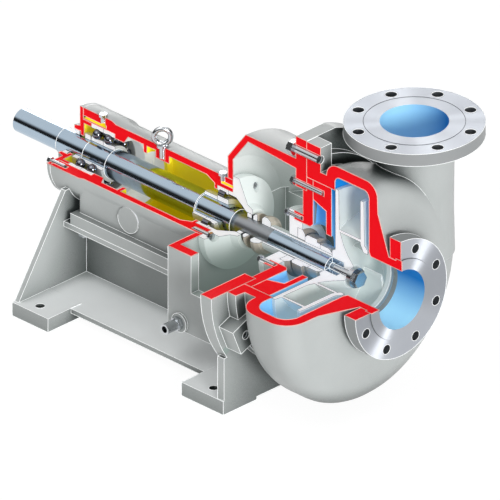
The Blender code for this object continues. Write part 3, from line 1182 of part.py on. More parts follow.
def build_impeller():
    """Closed impeller: back shroud with hub, curved vanes, front shroud with eye, pump-out vanes."""
    x0 = X_IMPELLER
    x1 = x0 + BACK_SHROUD
    x2 = x1 + PASSAGE_WIDTH
    x3 = x2 + FRONT_SHROUD
    x_eye = x3 + EYE_RING_LENGTH
    radius = IMPELLER_RADIUS
    body = turned("impeller", [
        (x0 - HUB_BACK, 0), (x0 - HUB_BACK, HUB_RADIUS), (x0, HUB_RADIUS + OVERCUT), (x0, radius),
        (x1, radius), (x1 + 2 * MM, 80 * MM), (x1 + 12 * MM, 54 * MM), (x1 + 22 * MM, 38 * MM),
        (X_NOSE, NOSE_RADIUS), (X_NOSE, 0),
    ], SIDES_LARGE)
    front = turned("front_shroud", [
        (x2, radius), (x3, radius), (x3 + 2 * MM, EYE_RADIUS + 2 * EYE_RING_WALL),
        (x_eye, EYE_RADIUS + EYE_RING_WALL), (x_eye, EYE_RADIUS), (x2 + FRONT_SHROUD, EYE_RADIUS),
        (x2, EYE_RADIUS + 2 * EYE_RING_WALL),
    ], SIDES_LARGE)
    to_middle = Matrix.Translation(((x1 + x2) / 2, 0, 0)) @ ACROSS
    vanes = [
        plate(f"vane_{number}", vane_outline(VANE_LEAD + 2 * math.pi * number / VANES),
              PASSAGE_WIDTH + BACK_SHROUD, to_middle)
        for number in range(VANES)
    ]
    ribs = []
    for number in range(PUMP_OUT_VANES):
        turn = Matrix.Rotation(2 * math.pi * (number + 0.35) / PUMP_OUT_VANES, 4, "X")
        sides = (("back", (x0 - PUMP_OUT_HEIGHT, x0 + 2 * MM)), ("front", (x3 - 2 * MM, x3 + PUMP_OUT_HEIGHT)))
        for side, xs in sides:
            rib = block(f"{side}_rib_{number}", xs, (-PUMP_OUT_WIDTH / 2, PUMP_OUT_WIDTH / 2),
                        (PUMP_OUT_START, PUMP_OUT_END))
            rib.data.transform(turn)
            ribs.append(rib)
    bore = core("hub_bore", x0 - HUB_BACK - OVERCUT, X_SHAFT_END + FIT, FRONT_RADIUS + FIT, SIDES_SMALL)
    bolt_hole = rod("impeller_bolt_hole", (X_SHAFT_END - OVERCUT, 0, 0), (1, 0, 0),
                    NOSE_WALL + 2 * OVERCUT, IMPELLER_BOLT_RADIUS + FIT)
    piece("impeller", body, WHITE_IRON, (ADD, front, *vanes, *ribs), (CUT, bore, bolt_hole), opened=True)
    seat = X_NOSE + FIT
    half_head = IMPELLER_BOLT_HEAD_LENGTH / 2
    head = rod("head", (seat, 0, 0), (1, 0, 0), half_head, IMPELLER_BOLT_HEAD, SIDES_SMALL)
    hexagon = rod("hexagon", (seat + half_head - 1 * MM, 0, 0), (1, 0, 0), half_head + 1 * MM,
                  0.8 * IMPELLER_BOLT_HEAD, 6)
    shank_start = X_SHAFT_END - IMPELLER_THREAD_DEPTH + 3 * MM
    shank = rod("impeller_shank", (shank_start, 0, 0), (1, 0, 0), seat + half_head / 2 - shank_start,
                IMPELLER_BOLT_RADIUS)
    piece("impeller_bolt", head, ZINC, (ADD, hexagon, shank))


def build_eye_bolt():
    """Lifting eye, turned 45 degrees, with its collar on the housing."""
    bpy.ops.mesh.primitive_torus_add(major_segments=14, minor_segments=6, major_radius=EYE_RING_RADIUS,
                                     minor_radius=EYE_WIRE_RADIUS)
    eye = bpy.context.object
    for collection in list(eye.users_collection):
        collection.objects.unlink(eye)
    facing = Matrix.Rotation(math.pi / 4, 4, "Z") @ Matrix.Rotation(math.pi / 2, 4, "X")
    eye.data.transform(Matrix.Translation((X_EYE_BOLT, 0, EYE_HEIGHT)) @ facing)
    collar = rod("eye_collar", (X_EYE_BOLT, 0, HOUSING_RADIUS + FIT), (0, 0, 1), EYE_WIRE_RADIUS, EYE_COLLAR_RADIUS)
    shank_low = HOUSING_RADIUS - EYE_SHANK_DEPTH
    shank = rod("eye_shank", (X_EYE_BOLT, 0, shank_low), (0, 0, 1), EYE_HEIGHT - EYE_RING_RADIUS - shank_low,
                EYE_SHANK_RADIUS)
    piece("eye_bolt", eye, ZINC, (ADD, collar, shank))


def build_fittings():
    """Casing bolts, foot bolts, lifting eye, plugs and drain nipple."""
    bolts("casing_bolt", X_LANTERN_FLANGE, -1, CASING_BOLT_CIRCLE, CASING_BOLT_RADIUS,
          FLANGE_THICKNESS + LUG_LENGTH - 2 * MM, LUG_ANGLES)
    for name, x, y in foot_bolt_places():
        head_length = HEAD_LENGTH * FOOT_BOLT_RADIUS
        head = rod(name, (x, y, Z_DECK_LOW - FIT), (0, 0, -1), head_length, HEAD_RADIUS * FOOT_BOLT_RADIUS, 6)
        shank = rod(f"{name}_shank", (x, y, Z_DECK_LOW - head_length / 2), (0, 0, 1), FOOT_BOLT_GRIP,
                    FOOT_BOLT_RADIUS)
        piece(name, head, ZINC, (ADD, shank))
    build_eye_bolt()
    for name, x, seat in plug_places():
        head = rod(name, (x, 0, seat + FIT), (0, 0, 1), PLUG_HEAD_HEIGHT, PLUG_HEAD_RADIUS, 6)
        shank = rod(f"{name}_shank", (x, 0, seat - PLUG_DEPTH), (0, 0, 1), PLUG_DEPTH + PLUG_HEAD_HEIGHT / 2,
                    PLUG_RADIUS)
        piece(name, head, ZINC, (ADD, shank))
    boss_face = -BOX_HALF_WIDTH - NIPPLE_BOSS_HEIGHT
    y_end = boss_face - NIPPLE_REACH
    tube = rod("drain_nipple", (X_DRAIN, y_end, -DRAIN_DEPTH), (0, 1, 0), NIPPLE_REACH + NIPPLE_DEPTH,
               NIPPLE_RADIUS)
    hexagon = rod("nipple_hexagon", (X_DRAIN, boss_face - NIPPLE_RADIUS, -DRAIN_DEPTH), (0, 1, 0),
                  NIPPLE_RADIUS - FIT, 1.3 * NIPPLE_RADIUS, 6)
    bore = rod("nipple_bore", (X_DRAIN, y_end - OVERCUT, -DRAIN_DEPTH), (0, 1, 0),
               NIPPLE_REACH + NIPPLE_DEPTH + 2 * OVERCUT, NIPPLE_BORE)
    piece("drain_nipple", tube, ZINC, (ADD, hexagon), (CUT, bore))


def parent_turning_parts():
    """What turns with the shaft, and each set of rolling elements, hangs from an empty on the shaft axis."""
    groups = {
        "rotor_axis": (
            "shaft", "impeller", "impeller_bolt", "front_spacer", "bearing_lock_nut", "bearing_lock_washer",
            "seal_sleeve", "seal_drive_collar", "seal_rotary_ring", "seal_retainer", "water_flinger",
            "rear_bearing_a_inner_ring", "rear_bearing_b_inner_ring", "roller_bearing_inner_ring",
        ),
        "cage_axis": ("rear_bearing_a_ball_cage", "rear_bearing_b_ball_cage", "roller_bearing_roller_cage"),
    }
    for axis_name, names in groups.items():
        axis = bpy.data.objects.new(axis_name, None)
        PARTS.objects.link(axis)
        for name in names:
            bpy.data.objects[name].parent = axis


clear_scene()
QUARTER = block("cutaway_quarter", (-50 * MM, X_SUCTION + 50 * MM), (-400 * MM, 0), (0, 400 * MM))
build_shaft()
build_bearings()
build_bearing_housing()
build_bearing_covers()
build_pedestal_frame()
build_volute_casing()
build_pipe_flanges()
build_seal_housing()
build_gland()
build_shaft_seal()
build_impeller()
build_fittings()
parent_turning_parts()
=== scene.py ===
"""Dressed look of a single-stage volute slurry pump, opened by a quarter to show its inside.

The shaft lies along +X from its drive end at the origin to the suction flange, and +Z is up. Every piece
follows the solid it stands for, with rounder sections, finishes, cut faces and painted highlights on its
edges; many finishes also carry painted light, shade and glow.
"""

import json
import math

import bmesh
import bpy
from mathutils import Matrix, Vector

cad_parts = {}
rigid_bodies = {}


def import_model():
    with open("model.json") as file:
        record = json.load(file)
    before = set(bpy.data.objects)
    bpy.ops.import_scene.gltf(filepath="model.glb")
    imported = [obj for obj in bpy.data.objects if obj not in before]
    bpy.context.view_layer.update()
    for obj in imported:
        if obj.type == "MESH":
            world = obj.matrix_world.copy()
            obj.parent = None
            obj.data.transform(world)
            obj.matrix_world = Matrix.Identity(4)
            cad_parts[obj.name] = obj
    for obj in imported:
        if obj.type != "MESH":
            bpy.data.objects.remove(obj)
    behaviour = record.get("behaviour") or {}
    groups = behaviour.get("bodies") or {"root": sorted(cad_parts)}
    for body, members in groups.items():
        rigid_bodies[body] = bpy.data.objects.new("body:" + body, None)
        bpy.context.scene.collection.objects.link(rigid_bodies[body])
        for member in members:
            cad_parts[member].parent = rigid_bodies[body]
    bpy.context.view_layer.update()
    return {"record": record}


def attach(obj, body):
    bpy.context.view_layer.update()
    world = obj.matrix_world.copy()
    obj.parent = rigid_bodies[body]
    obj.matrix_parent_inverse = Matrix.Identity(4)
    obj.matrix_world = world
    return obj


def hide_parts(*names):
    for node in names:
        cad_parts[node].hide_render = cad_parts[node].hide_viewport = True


MM = 0.001

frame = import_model()
RECORD = frame["record"]
BODY_OF = {node: body for body, nodes in RECORD["behaviour"]["bodies"].items() for node in nodes}

# Clearances
FIT = 0.3 * MM
RUNNING = 0.8 * MM
OVERCUT = 5 * MM
# How far joined forms reach into each other, and how closely a face is placed by the rules for finishes
LAP = 2 * MM
SLACK = 1 * MM
FINE_SLACK = 0.1 * MM
WELD = 0.01 * MM
PLANE_SLACK = 0.02 * MM

# Shaft, from the drive end
STUB_LENGTH = 135 * MM
STUB_RADIUS = 22.5 * MM
STUB_RELIEF = 24 * MM
SHAFT_CHAMFER = 2 * MM
THREAD_RADIUS = 24 * MM
SEAT_RADIUS = 25 * MM
BODY_RADIUS = 28 * MM
SPACER_LENGTH = 32 * MM
SPACER_RADIUS = 32 * MM
FRONT_RADIUS = 19.5 * MM

# Bearings
BALL_BEARING_WIDTH = 29 * MM
BALL_BEARING_RADIUS = 60 * MM
BALL_PITCH_RADIUS = 43 * MM
BALL_RADIUS = 9.5 * MM
BALLS_PER_ROW = 12
ROLLER_BEARING_WIDTH = 27 * MM
ROLLER_BEARING_RADIUS = 55 * MM
ROLLER_PITCH_RADIUS = 42 * MM
ROLLER_RADIUS = 6 * MM
ROLLER_LENGTH = 15 * MM
ROLLERS_PER_ROW = 12
RACE_DEPTH = 1.5 * MM
CAGE_WALL = 4 * MM
CAGE_WIDTH = 8 * MM
LOCK_NUT_WIDTH = 14 * MM
LOCK_NUT_RADIUS = 34 * MM
NUT_SLOT = 4 * MM
LOCK_WASHER = 2 * MM
LOCK_WASHER_RADIUS = 31 * MM

# Bearing housing
HOUSING_RADIUS = 80 * MM
COLLAR_RADIUS = 84 * MM
COLLAR_LENGTH = 72 * MM
COLLAR_CHAMFER = 10 * MM
COVER_SPACE = 21 * MM
SHOULDER_LENGTH = 23 * MM
SHOULDER_RADIUS = 52 * MM
OIL_SPACE_LENGTH = 228 * MM
OIL_SPACE_RADIUS = 67 * MM
OIL_SPACE_FILLET = 10 * MM
FRONT_SHOULDER_LENGTH = 7 * MM
FRONT_SHOULDER_RADIUS = 47 * MM
FRONT_LAND = 12 * MM
SIDE_HALF_WIDTH = 76 * MM
SUMP_HALF_WIDTH = 64 * MM
SUMP_DEPTH = 68 * MM
FOOT_HALF_WIDTH = 90 * MM
FOOT_TOP = 74 * MM
FOOT_THICKNESS = 22 * MM
FOOT_SETBACK = 57 * MM
BULKHEAD_PLACE = 49 * MM
BULKHEAD_THICKNESS = 8 * MM
GALLERY_RADIUS = 62.5 * MM
GALLERY_HEIGHT = 6 * MM
GALLERY_WIDTH = 14 * MM
REAR_GALLERY_LENGTH = 58 * MM
FRONT_GALLERY_LENGTH = 30 * MM
SIDE_BOSS_RADIUS = 25 * MM
SIDE_BOSS_HEIGHT = 3 * MM
SIDE_BOSS_PLACE = 88 * MM
SIDE_BOSS_DROP = 42 * MM

# Bearing covers and oil seals
COVER_LIP = 14 * MM
COVER_PLATE = 8 * MM
COVER_WALL = 7 * MM
REAR_SEAL_RADIUS = 34 * MM
FRONT_COVER_RADIUS = 88 * MM
FRONT_COVER_RIM = 15 * MM
FRONT_COVER_DISH = 21 * MM
FRONT_HUB_LENGTH = 13 * MM
FRONT_HUB_RADIUS = 38 * MM
FRONT_SEAL_RADIUS = 29 * MM
SEAL_WIDTH = 11 * MM
SEAL_INSET = 2 * MM
COVER_BOLT_CIRCLE = 71 * MM
COVER_BOLT_RADIUS = 4 * MM
COVER_THREAD_DEPTH = 30 * MM
COVER_BOLT_ANGLES = (90, 210, 330)
SPOT_FACE_DEPTH = 3 * MM

# Lantern of the pedestal
LANTERN_LENGTH = 185 * MM
BACK_WALL = 13 * MM
BARREL_RADIUS = 184 * MM
BARREL_WALL = 12 * MM
BARREL_THICKENING = 10 * MM
CONE_START_RADIUS = 124 * MM
CONE_LENGTH = 32 * MM
BOX_HALF_WIDTH = 151 * MM
BOX_WALL = 19 * MM
BOX_DEPTH = 158 * MM
BOX_FLOOR = 8 * MM
BOX_TOP = 20 * MM
FLANGE_RADIUS = 240 * MM
FLANGE_THICKNESS = 27 * MM
FLANGE_BORE = 129 * MM
FLANGE_FLAT = 229 * MM
COLUMN_LENGTH = 58 * MM
WINDOW_HALF_HEIGHT = 75 * MM

# Base of the pedestal
SHAFT_HEIGHT = 245 * MM
BASE_HALF_WIDTH = 210 * MM
BASE_SETBACK = 188 * MM
PAD_THICKNESS = 27 * MM
REAR_PAD_LENGTH = 90 * MM
FRONT_PAD_LENGTH = 105 * MM
PAD_WIDTH = 84 * MM
FLOOR_HALF_WIDTH = 152 * MM
FLOOR_THICKNESS = 10 * MM
GUSSET_THICKNESS = 10 * MM
GUSSET_TOP = 36 * MM
WALL_SPREAD = 33 * MM
WALL_THICKNESS = 10 * MM
DECK_THICKNESS = 10 * MM
FRONT_WALL = 16 * MM
FRONT_WALL_TOP = 132 * MM
FRONT_WALL_LIFT = 6 * MM
CORE_HALF_WIDTH = 16 * MM
CORE_INSET = 80 * MM
ANCHOR_HOLE_RADIUS = 9 * MM
ANCHOR_SPREAD = 185 * MM
REAR_ANCHOR_INSET = 45 * MM
FRONT_ANCHOR_INSET = 49 * MM
DRAIN_DEPTH = 142 * MM
DRAIN_PLACE = 32 * MM

# Volute casing, from its joint with the lantern
CASING_LENGTH = 240 * MM
REGISTER_RADIUS = 157 * MM
CASING_FLANGE_RADIUS = 200 * MM
CASING_FLANGE_THICKNESS = 21 * MM
CASING_GROOVE_RADIUS = 179 * MM
VOLUTE_BACK = 50 * MM
VOLUTE_FRONT = 178 * MM
VOLUTE_START_RADIUS = 200 * MM
VOLUTE_GROWTH = 36 * MM
VOLUTE_WALL = 21 * MM
FAR_ROUNDING = 28 * MM
VOLUTE_CORNER = 22 * MM
CHAMBER_CORNER = 8 * MM
CORNER_GROWTH = 0.75
FRONT_CONE_RADIUS = 150 * MM
SUCTION_BORE = 57 * MM
BORE_LIP = 8 * MM
NECK_RADIUS = 73 * MM
NECK_LENGTH = 38 * MM
NECK_FLARE = 14 * MM
STUB_END_RADIUS = 77 * MM
STUB_END_LENGTH = 15 * MM
DISCHARGE_OFFSET = 159 * MM
DISCHARGE_PLACE = 112 * MM
DISCHARGE_HEIGHT = 252 * MM
DISCHARGE_BORE = 62 * MM
DISCHARGE_NECK_RADIUS = 76 * MM
DISCHARGE_STUB_RADIUS = 91 * MM
DISCHARGE_STUB_LENGTH = 16 * MM
LUG_RADIUS = 228 * MM
LUG_WIDTH = 54 * MM
LUG_LENGTH = 35 * MM
LUG_ANGLES = (0, 112.5, 247.5)
CASING_BOLT_CIRCLE = 204 * MM
CASING_BOLT_RADIUS = 8 * MM

# Pipe flanges
SUCTION_FLANGE_RADIUS = 114.5 * MM
SUCTION_FLANGE_THICKNESS = 27.5 * MM
SUCTION_FLANGE_RECESS = 2.5 * MM
SUCTION_BOLT_CIRCLE = 95.25 * MM
SUCTION_HOLE_RADIUS = 9.5 * MM
DISCHARGE_FLANGE_RADIUS = 127 * MM
DISCHARGE_FLANGE_THICKNESS = 24 * MM
DISCHARGE_BOLT_CIRCLE = 108 * MM
DISCHARGE_HOLE_RADIUS = 11 * MM
PIPE_HOLES = 8
FLANGE_SCREW_RADIUS = 2.5 * MM
FLANGE_SCREW_REACH = 14 * MM
FLANGE_SCREW_DEPTH = 10 * MM
FLANGE_SCREW_PLACE = 8 * MM

# Seal housing, wear plate and gland
SPIGOT_LENGTH = 9 * MM
SEAL_WALL = 16 * MM
SEAL_BORE = 60 * MM
SEAL_BORE_FLARE = 7 * MM
SEAL_HUB_RADIUS = 78 * MM
SEAL_HUB_LENGTH = 22 * MM
WEAR_RIM = 46 * MM
WEAR_FACE = 13 * MM
WEAR_BORE = 60 * MM
CHAMBER_RADIUS = 118 * MM
CHAMBER_TAPER = 12 * MM
GLAND_THICKNESS = 12 * MM
GLAND_BORE = 26 * MM
GLAND_SEAT_RADIUS = 46 * MM
GLAND_SEAT_DEPTH = 21 * MM
GLAND_SPIGOT_LENGTH = 21 * MM
GLAND_BOLT_CIRCLE = 69 * MM
GLAND_BOLT_RADIUS = 4 * MM
GLAND_THREAD_DEPTH = 22 * MM
GLAND_BOLT_ANGLES = (0, 90, 180, 270)
COVER_STUD_CIRCLE = 139 * MM
COVER_STUD_RADIUS = 5 * MM
COVER_STUD_GRIP = 70 * MM
COVER_STUD_ANGLES = (0, 120, 240)

# Shaft seal, along the shaft
FLINGER_GAP = 2 * MM
FLINGER_LENGTH = 10 * MM
FLINGER_RADIUS = 33 * MM
DRIVE_COLLAR_GAP = 12 * MM
DRIVE_COLLAR_LENGTH = 22 * MM
DRIVE_COLLAR_RADIUS = 36 * MM
SLEEVE_RADIUS = 24 * MM
STATIONARY_RING_LENGTH = 18 * MM
ROTARY_RING_LENGTH = 38 * MM
ROTARY_RING_RADIUS = 40 * MM
RETAINER_RADIUS = 33 * MM
RING_STEP = 6 * MM
RING_END = 8 * MM

# Impeller, from its back face
IMPELLER_RADIUS = 160 * MM
IMPELLER_GAP = 10 * MM
BACK_SHROUD = 8 * MM
PASSAGE_WIDTH = 55 * MM
FRONT_SHROUD = 8 * MM
EYE_RADIUS = 58 * MM
EYE_RING_LENGTH = 10 * MM
EYE_RING_WALL = 7 * MM
HUB_RADIUS = 33 * MM
HUB_BACK = 8 * MM
# Flare from the back shroud to the hub, as (distance, radius) in millimetres
HUB_FLARE = ((2, 80), (12, 54), (22, 38))
NOSE_RADIUS = 22 * MM
NOSE_LENGTH = 44 * MM
NOSE_WALL = 22 * MM
VANES = 5
VANE_THICKNESS = 8 * MM
VANE_START_RADIUS = 50 * MM
VANE_WRAP = math.radians(105)
VANE_LEAD = math.radians(60)
VANE_END_GAP = 2 * MM
PUMP_OUT_VANES = 5
PUMP_OUT_HEIGHT = 6 * MM
PUMP_OUT_WIDTH = 9 * MM
PUMP_OUT_START = 80 * MM
PUMP_OUT_END = 152 * MM
IMPELLER_BOLT_RADIUS = 8 * MM
IMPELLER_THREAD_DEPTH = 33 * MM
IMPELLER_BOLT_HEAD = 19 * MM
IMPELLER_BOLT_HEAD_LENGTH = 20 * MM

# Small fittings
EYE_BOLT_PLACE = 199 * MM
EYE_RING_RADIUS = 15 * MM
EYE_WIRE_RADIUS = 5 * MM
EYE_HEIGHT = 101 * MM
EYE_SHANK_RADIUS = 6 * MM
EYE_SHANK_DEPTH = 22 * MM
EYE_TAP_DEPTH = 25 * MM
EYE_COLLAR_RADIUS = 11 * MM
EYE_BOSS_RADIUS = 17 * MM
EYE_BOSS_BOTTOM = 52 * MM
PLUG_RADIUS = 5 * MM
PLUG_HEAD_RADIUS = 8 * MM
PLUG_HEAD_HEIGHT = 6 * MM
PLUG_DEPTH = 10 * MM
NIPPLE_RADIUS = 10 * MM
NIPPLE_BORE = 6.5 * MM
NIPPLE_REACH = 36 * MM
NIPPLE_DEPTH = 18 * MM
NIPPLE_BOSS_RADIUS = 18 * MM
NIPPLE_BOSS_HEIGHT = 5 * MM
FOOT_BOLT_RADIUS = 6 * MM
FOOT_BOLT_SPREAD = 76 * MM
FOOT_BOLT_INSET = 22 * MM
FOOT_BOLT_GRIP = 26 * MM
FOOT_TAP_DEPTH = 16 * MM

# Hex bolts, as shares of the shank radius
HEAD_RADIUS = 1.8
HEAD_LENGTH = 1.5
SPOT_FACE_RADIUS = 2.2
CROWN_HEIGHT = 0.18
CROWN_SHARE = 0.86

# Finishes
BRUSHED_REACH = 10 * MM
BLUE_BORE_DEPTH = 68 * MM
DRIFT_SIZE = 70 * MM
SMOOTH_SHARE = 0.85
ROUGH_SHARE = 1.2
EDGE_RADIUS = 1.6 * MM
METAL_SPECULAR = 0.5
PAINT_SPECULAR = 0.2
LIT_SPECULAR = 0.15
OPEN_SKY = 0.82
CLOSED_SKY = 0.1

# Studio, where 1 is white
DIFFUSE_LEVEL = 0.23
WALL_LEVEL = 0.02
CEILING_LEVEL = 0.95
WALL_TOP = 0.3
CEILING_START = 0.6
FLOOR_REACH = 6
FLOOR_GAP = 0.5 * MM
FLOOR_GLOW = 1.1
FLOOR_GLOW_SHARE = 0.86
VIEW_DISTANCE = 3
VIEW_WIDTH = 0.890

# Facets of a full turn
SIDES_LARGE = 96
SIDES_SMALL = 64
SIDES_FASTENER = 24

# Stations along the shaft, worked out from the lengths above
X_COVER_FACE = STUB_LENGTH + COVER_LIP
X_HOUSING_REAR = X_COVER_FACE + COVER_PLATE + FIT
X_BALLS_A = X_HOUSING_REAR + COVER_SPACE
X_BALLS_B = X_BALLS_A + BALL_BEARING_WIDTH + FIT
X_SHOULDER = X_BALLS_B + BALL_BEARING_WIDTH + FIT
X_OIL_SPACE = X_SHOULDER + SHOULDER_LENGTH
X_OIL_END = X_OIL_SPACE + OIL_SPACE_LENGTH
X_ROLLERS = X_OIL_END + FRONT_SHOULDER_LENGTH + FIT
X_ROLLERS_END = X_ROLLERS + ROLLER_BEARING_WIDTH
X_HOUSING_FRONT = X_ROLLERS_END + FRONT_LAND
X_LANTERN_REAR = X_HOUSING_FRONT - BACK_WALL
X_JOINT = X_HOUSING_FRONT + LANTERN_LENGTH
X_LANTERN_FLANGE = X_JOINT - FLANGE_THICKNESS
X_CASING = X_JOINT + FIT
X_SUCTION = X_JOINT + CASING_LENGTH
X_SEAL_WALL = X_JOINT - SPIGOT_LENGTH
X_SEAL_HUB = X_SEAL_WALL - SEAL_HUB_LENGTH
X_SEAL_FRONT = X_CASING + SEAL_WALL
X_GLAND = X_SEAL_HUB - FIT - GLAND_THICKNESS
X_WEAR_BACK = X_SEAL_FRONT + FIT
X_WEAR_FACE = X_WEAR_BACK + WEAR_RIM
X_IMPELLER = X_WEAR_FACE + IMPELLER_GAP
X_NOSE = X_IMPELLER + NOSE_LENGTH
X_SHAFT_END = X_NOSE - NOSE_WALL
X_COVER_RIM = X_HOUSING_FRONT + FRONT_COVER_RIM
X_COVER_HUB = X_COVER_RIM + FRONT_COVER_DISH
X_COVER_END = X_COVER_HUB + FRONT_HUB_LENGTH
X_FLINGER = X_COVER_END + FLINGER_GAP
X_DRIVE_COLLAR = X_FLINGER + FLINGER_LENGTH + DRIVE_COLLAR_GAP
X_SLEEVE = X_DRIVE_COLLAR + DRIVE_COLLAR_LENGTH + FIT
X_SLEEVE_END = X_IMPELLER - HUB_BACK - FIT
X_STATIONARY = X_GLAND + GLAND_SEAT_DEPTH + FIT
X_EYE_BOLT = X_HOUSING_REAR + EYE_BOLT_PLACE
X_DRAIN = X_LANTERN_REAR + DRAIN_PLACE
X_DISCHARGE = X_CASING + DISCHARGE_PLACE

X_BRUSHED_END = X_SLEEVE + BRUSHED_REACH
X_BLUE_BORE = X_SUCTION - BLUE_BORE_DEPTH

# Heights below the shaft
Z_FOOT = -FOOT_TOP - FOOT_THICKNESS
Z_DECK = Z_FOOT - FIT
Z_DECK_LOW = Z_DECK - DECK_THICKNESS
Z_FLOOR = -SHAFT_HEIGHT
Z_PAD_TOP = Z_FLOOR + PAD_THICKNESS

ADD = "UNION"
CUT = "DIFFERENCE"

CUTTERS = bpy.data.collections.new("cutters")
bpy.context.scene.collection.children.link(CUTTERS)


def srgb(code):
    """The linear colour of an sRGB hex value."""
    channels = [int(code[i:i + 2], 16) / 255 for i in (1, 3, 5)]
    return (*[c / 12.92 if c <= 0.04045 else ((c + 0.055) / 1.055) ** 2.4 for c in channels], 1)


def add(tree, kind, inputs=None, **settings):
    """Add a node with its settings; each input takes a value or another node's output."""
    made = tree.nodes.new(kind)
    for key, value in settings.items():
        setattr(made, key, value)
    for key, value in (inputs or {}).items():
        if isinstance(value, bpy.types.NodeSocket):
            tree.links.new(value, made.inputs[key])
        else:
            made.inputs[key].default_value = value
    return made


def surface(name, colour, shade, metallic, roughness, grain, relief, edge=None):
    """A finish that drifts from colour to shade, on a fine grain; edge is the colour of a painted highlight
    along its edges.
    """
    material = bpy.data.materials.new(name)
    material.use_nodes = True
    tree = material.node_tree
    shader = tree.nodes["Principled BSDF"]
    place = add(tree, "ShaderNodeTexCoord").outputs["Object"]
    cloud = add(tree, "ShaderNodeTexNoise", {"Vector": place, "Scale": 1 / DRIFT_SIZE, "Detail": 3.0})
    tone = add(tree, "ShaderNodeMix", {"Factor": cloud.outputs["Fac"], 6: srgb(colour), 7: srgb(shade)},
               data_type="RGBA").outputs[2]
    speck = add(tree, "ShaderNodeTexNoise", {"Vector": place, "Scale": 1 / grain, "Detail": 2.0})
    fine = speck.outputs["Fac"]
    gloss = add(tree, "ShaderNodeMapRange", {"Value": fine, "To Min": SMOOTH_SHARE * roughness,
                                             "To Max": ROUGH_SHARE * roughness})
    bump = add(tree, "ShaderNodeBump", {"Height": fine, "Distance": relief, "Strength": 0.6})
    if edge:
        rounded = add(tree, "ShaderNodeBevel", {"Radius": EDGE_RADIUS}, samples=4).outputs["Normal"]
        flat = add(tree, "ShaderNodeNewGeometry").outputs["Normal"]
        turn = add(tree, "ShaderNodeVectorMath", {0: rounded, 1: flat},
                   operation="DOT_PRODUCT").outputs["Value"]
        # Painted highlight: the tone turns to the edge colour where the rounded normal bends away from the
        # flat one
        edge_highlight_share = add(tree, "ShaderNodeMapRange", {"Value": turn, "From Min": 0.99, "From Max": 0.86})
        tone = add(tree, "ShaderNodeMix", {"Factor": edge_highlight_share.outputs["Result"], 6: tone, 7: srgb(edge)},
                   data_type="RGBA").outputs[2]
        tree.links.new(rounded, bump.inputs["Normal"])
    tree.links.new(tone, shader.inputs["Base Color"])
    tree.links.new(gloss.outputs["Result"], shader.inputs["Roughness"])
    tree.links.new(bump.outputs["Normal"], shader.inputs["Normal"])
    shader.inputs["Metallic"].default_value = metallic
    shader.inputs["Specular IOR Level"].default_value = METAL_SPECULAR if metallic else PAINT_SPECULAR
    return material


def painted_light_gradient(material, low, high, direction=(0, 0, 1)):
    """Paint light and shade into a finish: let it run from its colour to its shade between two places along a
    direction.
    """
    tree = material.node_tree
    place = add(tree, "ShaderNodeTexCoord").outputs["Object"]
    along = add(tree, "ShaderNodeVectorMath", {0: place, 1: direction}, operation="DOT_PRODUCT")
    share = add(tree, "ShaderNodeMapRange", {"Value": along.outputs["Value"], "From Min": low,
                                             "From Max": high})
    tone = tree.nodes["Principled BSDF"].inputs["Base Color"].links[0].from_node
    tree.links.new(share.outputs["Result"], tone.inputs["Factor"])
    return material


def painted_glow(material, strength):
    """Give a finish a painted glow of its own colour: painted light that keeps it clear where the housings
    shade it.
    """
    tree = material.node_tree
    shader = tree.nodes["Principled BSDF"]
    tree.links.new(shader.inputs["Base Color"].links[0].from_socket, shader.inputs["Emission Color"])
    shader.inputs["Emission Strength"].default_value = strength
    shader.inputs["Specular IOR Level"].default_value = LIT_SPECULAR
    return material


def painted_recess_shade(material, code, reach):
    """Paint shade into a finish: darken it towards another colour in recesses, where walls stand within
    reach.
    """
    tree = material.node_tree
    base = tree.nodes["Principled BSDF"].inputs["Base Color"]
    sky = add(tree, "ShaderNodeAmbientOcclusion", {"Distance": reach}, samples=8).outputs["AO"]
    depth = add(tree, "ShaderNodeMapRange", {"Value": sky, "From Min": OPEN_SKY, "From Max": CLOSED_SKY})
    mixed = add(tree, "ShaderNodeMix", {"Factor": depth.outputs["Result"], 6: base.links[0].from_socket,
                                        7: srgb(code)}, data_type="RGBA").outputs[2]
    tree.links.new(mixed, base)
    return material


def turned_grain(material, centre, axis, strength):
    """Run a metal's grain round an axis, as a lathe tool leaves it, so that its sheen fans out from there."""
    tree = material.node_tree
    shader = tree.nodes["Principled BSDF"]
    place = add(tree, "ShaderNodeTexCoord").outputs["Object"]
    arm = add(tree, "ShaderNodeVectorMath", {0: place, 1: centre}, operation="SUBTRACT").outputs["Vector"]
    grain = add(tree, "ShaderNodeVectorMath", {0: axis, 1: arm}, operation="CROSS_PRODUCT").outputs["Vector"]
    turned_too = add(tree, "ShaderNodeVectorTransform", {"Vector": grain}, vector_type="VECTOR",
                     convert_from="OBJECT", convert_to="WORLD").outputs["Vector"]
    tree.links.new(turned_too, shader.inputs["Tangent"])
    shader.inputs["Anisotropic"].default_value = strength
    return material


# Satin grey machine enamel sprayed on sand-cast iron: a soft sheen, faint orange peel, a painted white
# highlight along its edges, and painted shade that darkens it in recesses
CAST = painted_recess_shade(surface("satin_grey_enamel", "#C6CAC9", "#BABFBE", 0.0, 0.34, 2.5 * MM, 0.12 * MM,
                        edge="#FFFFFF"), "#2C3634", 115 * MM)
# The same enamel inside the lantern and the bearing bay, kept light by a painted glow so that the works stand
# out; painted shade makes it darker towards the bottom and in recesses
INNER_GREY = surface("grey_inner_enamel", "#8A9692", "#CACFCD", 0.0, 0.4, 2.5 * MM, 0.08 * MM)
INNER_GREY = painted_glow(painted_recess_shade(painted_light_gradient(INNER_GREY, -120 * MM, 110 * MM), "#3C4A46", 60 * MM), 0.3)
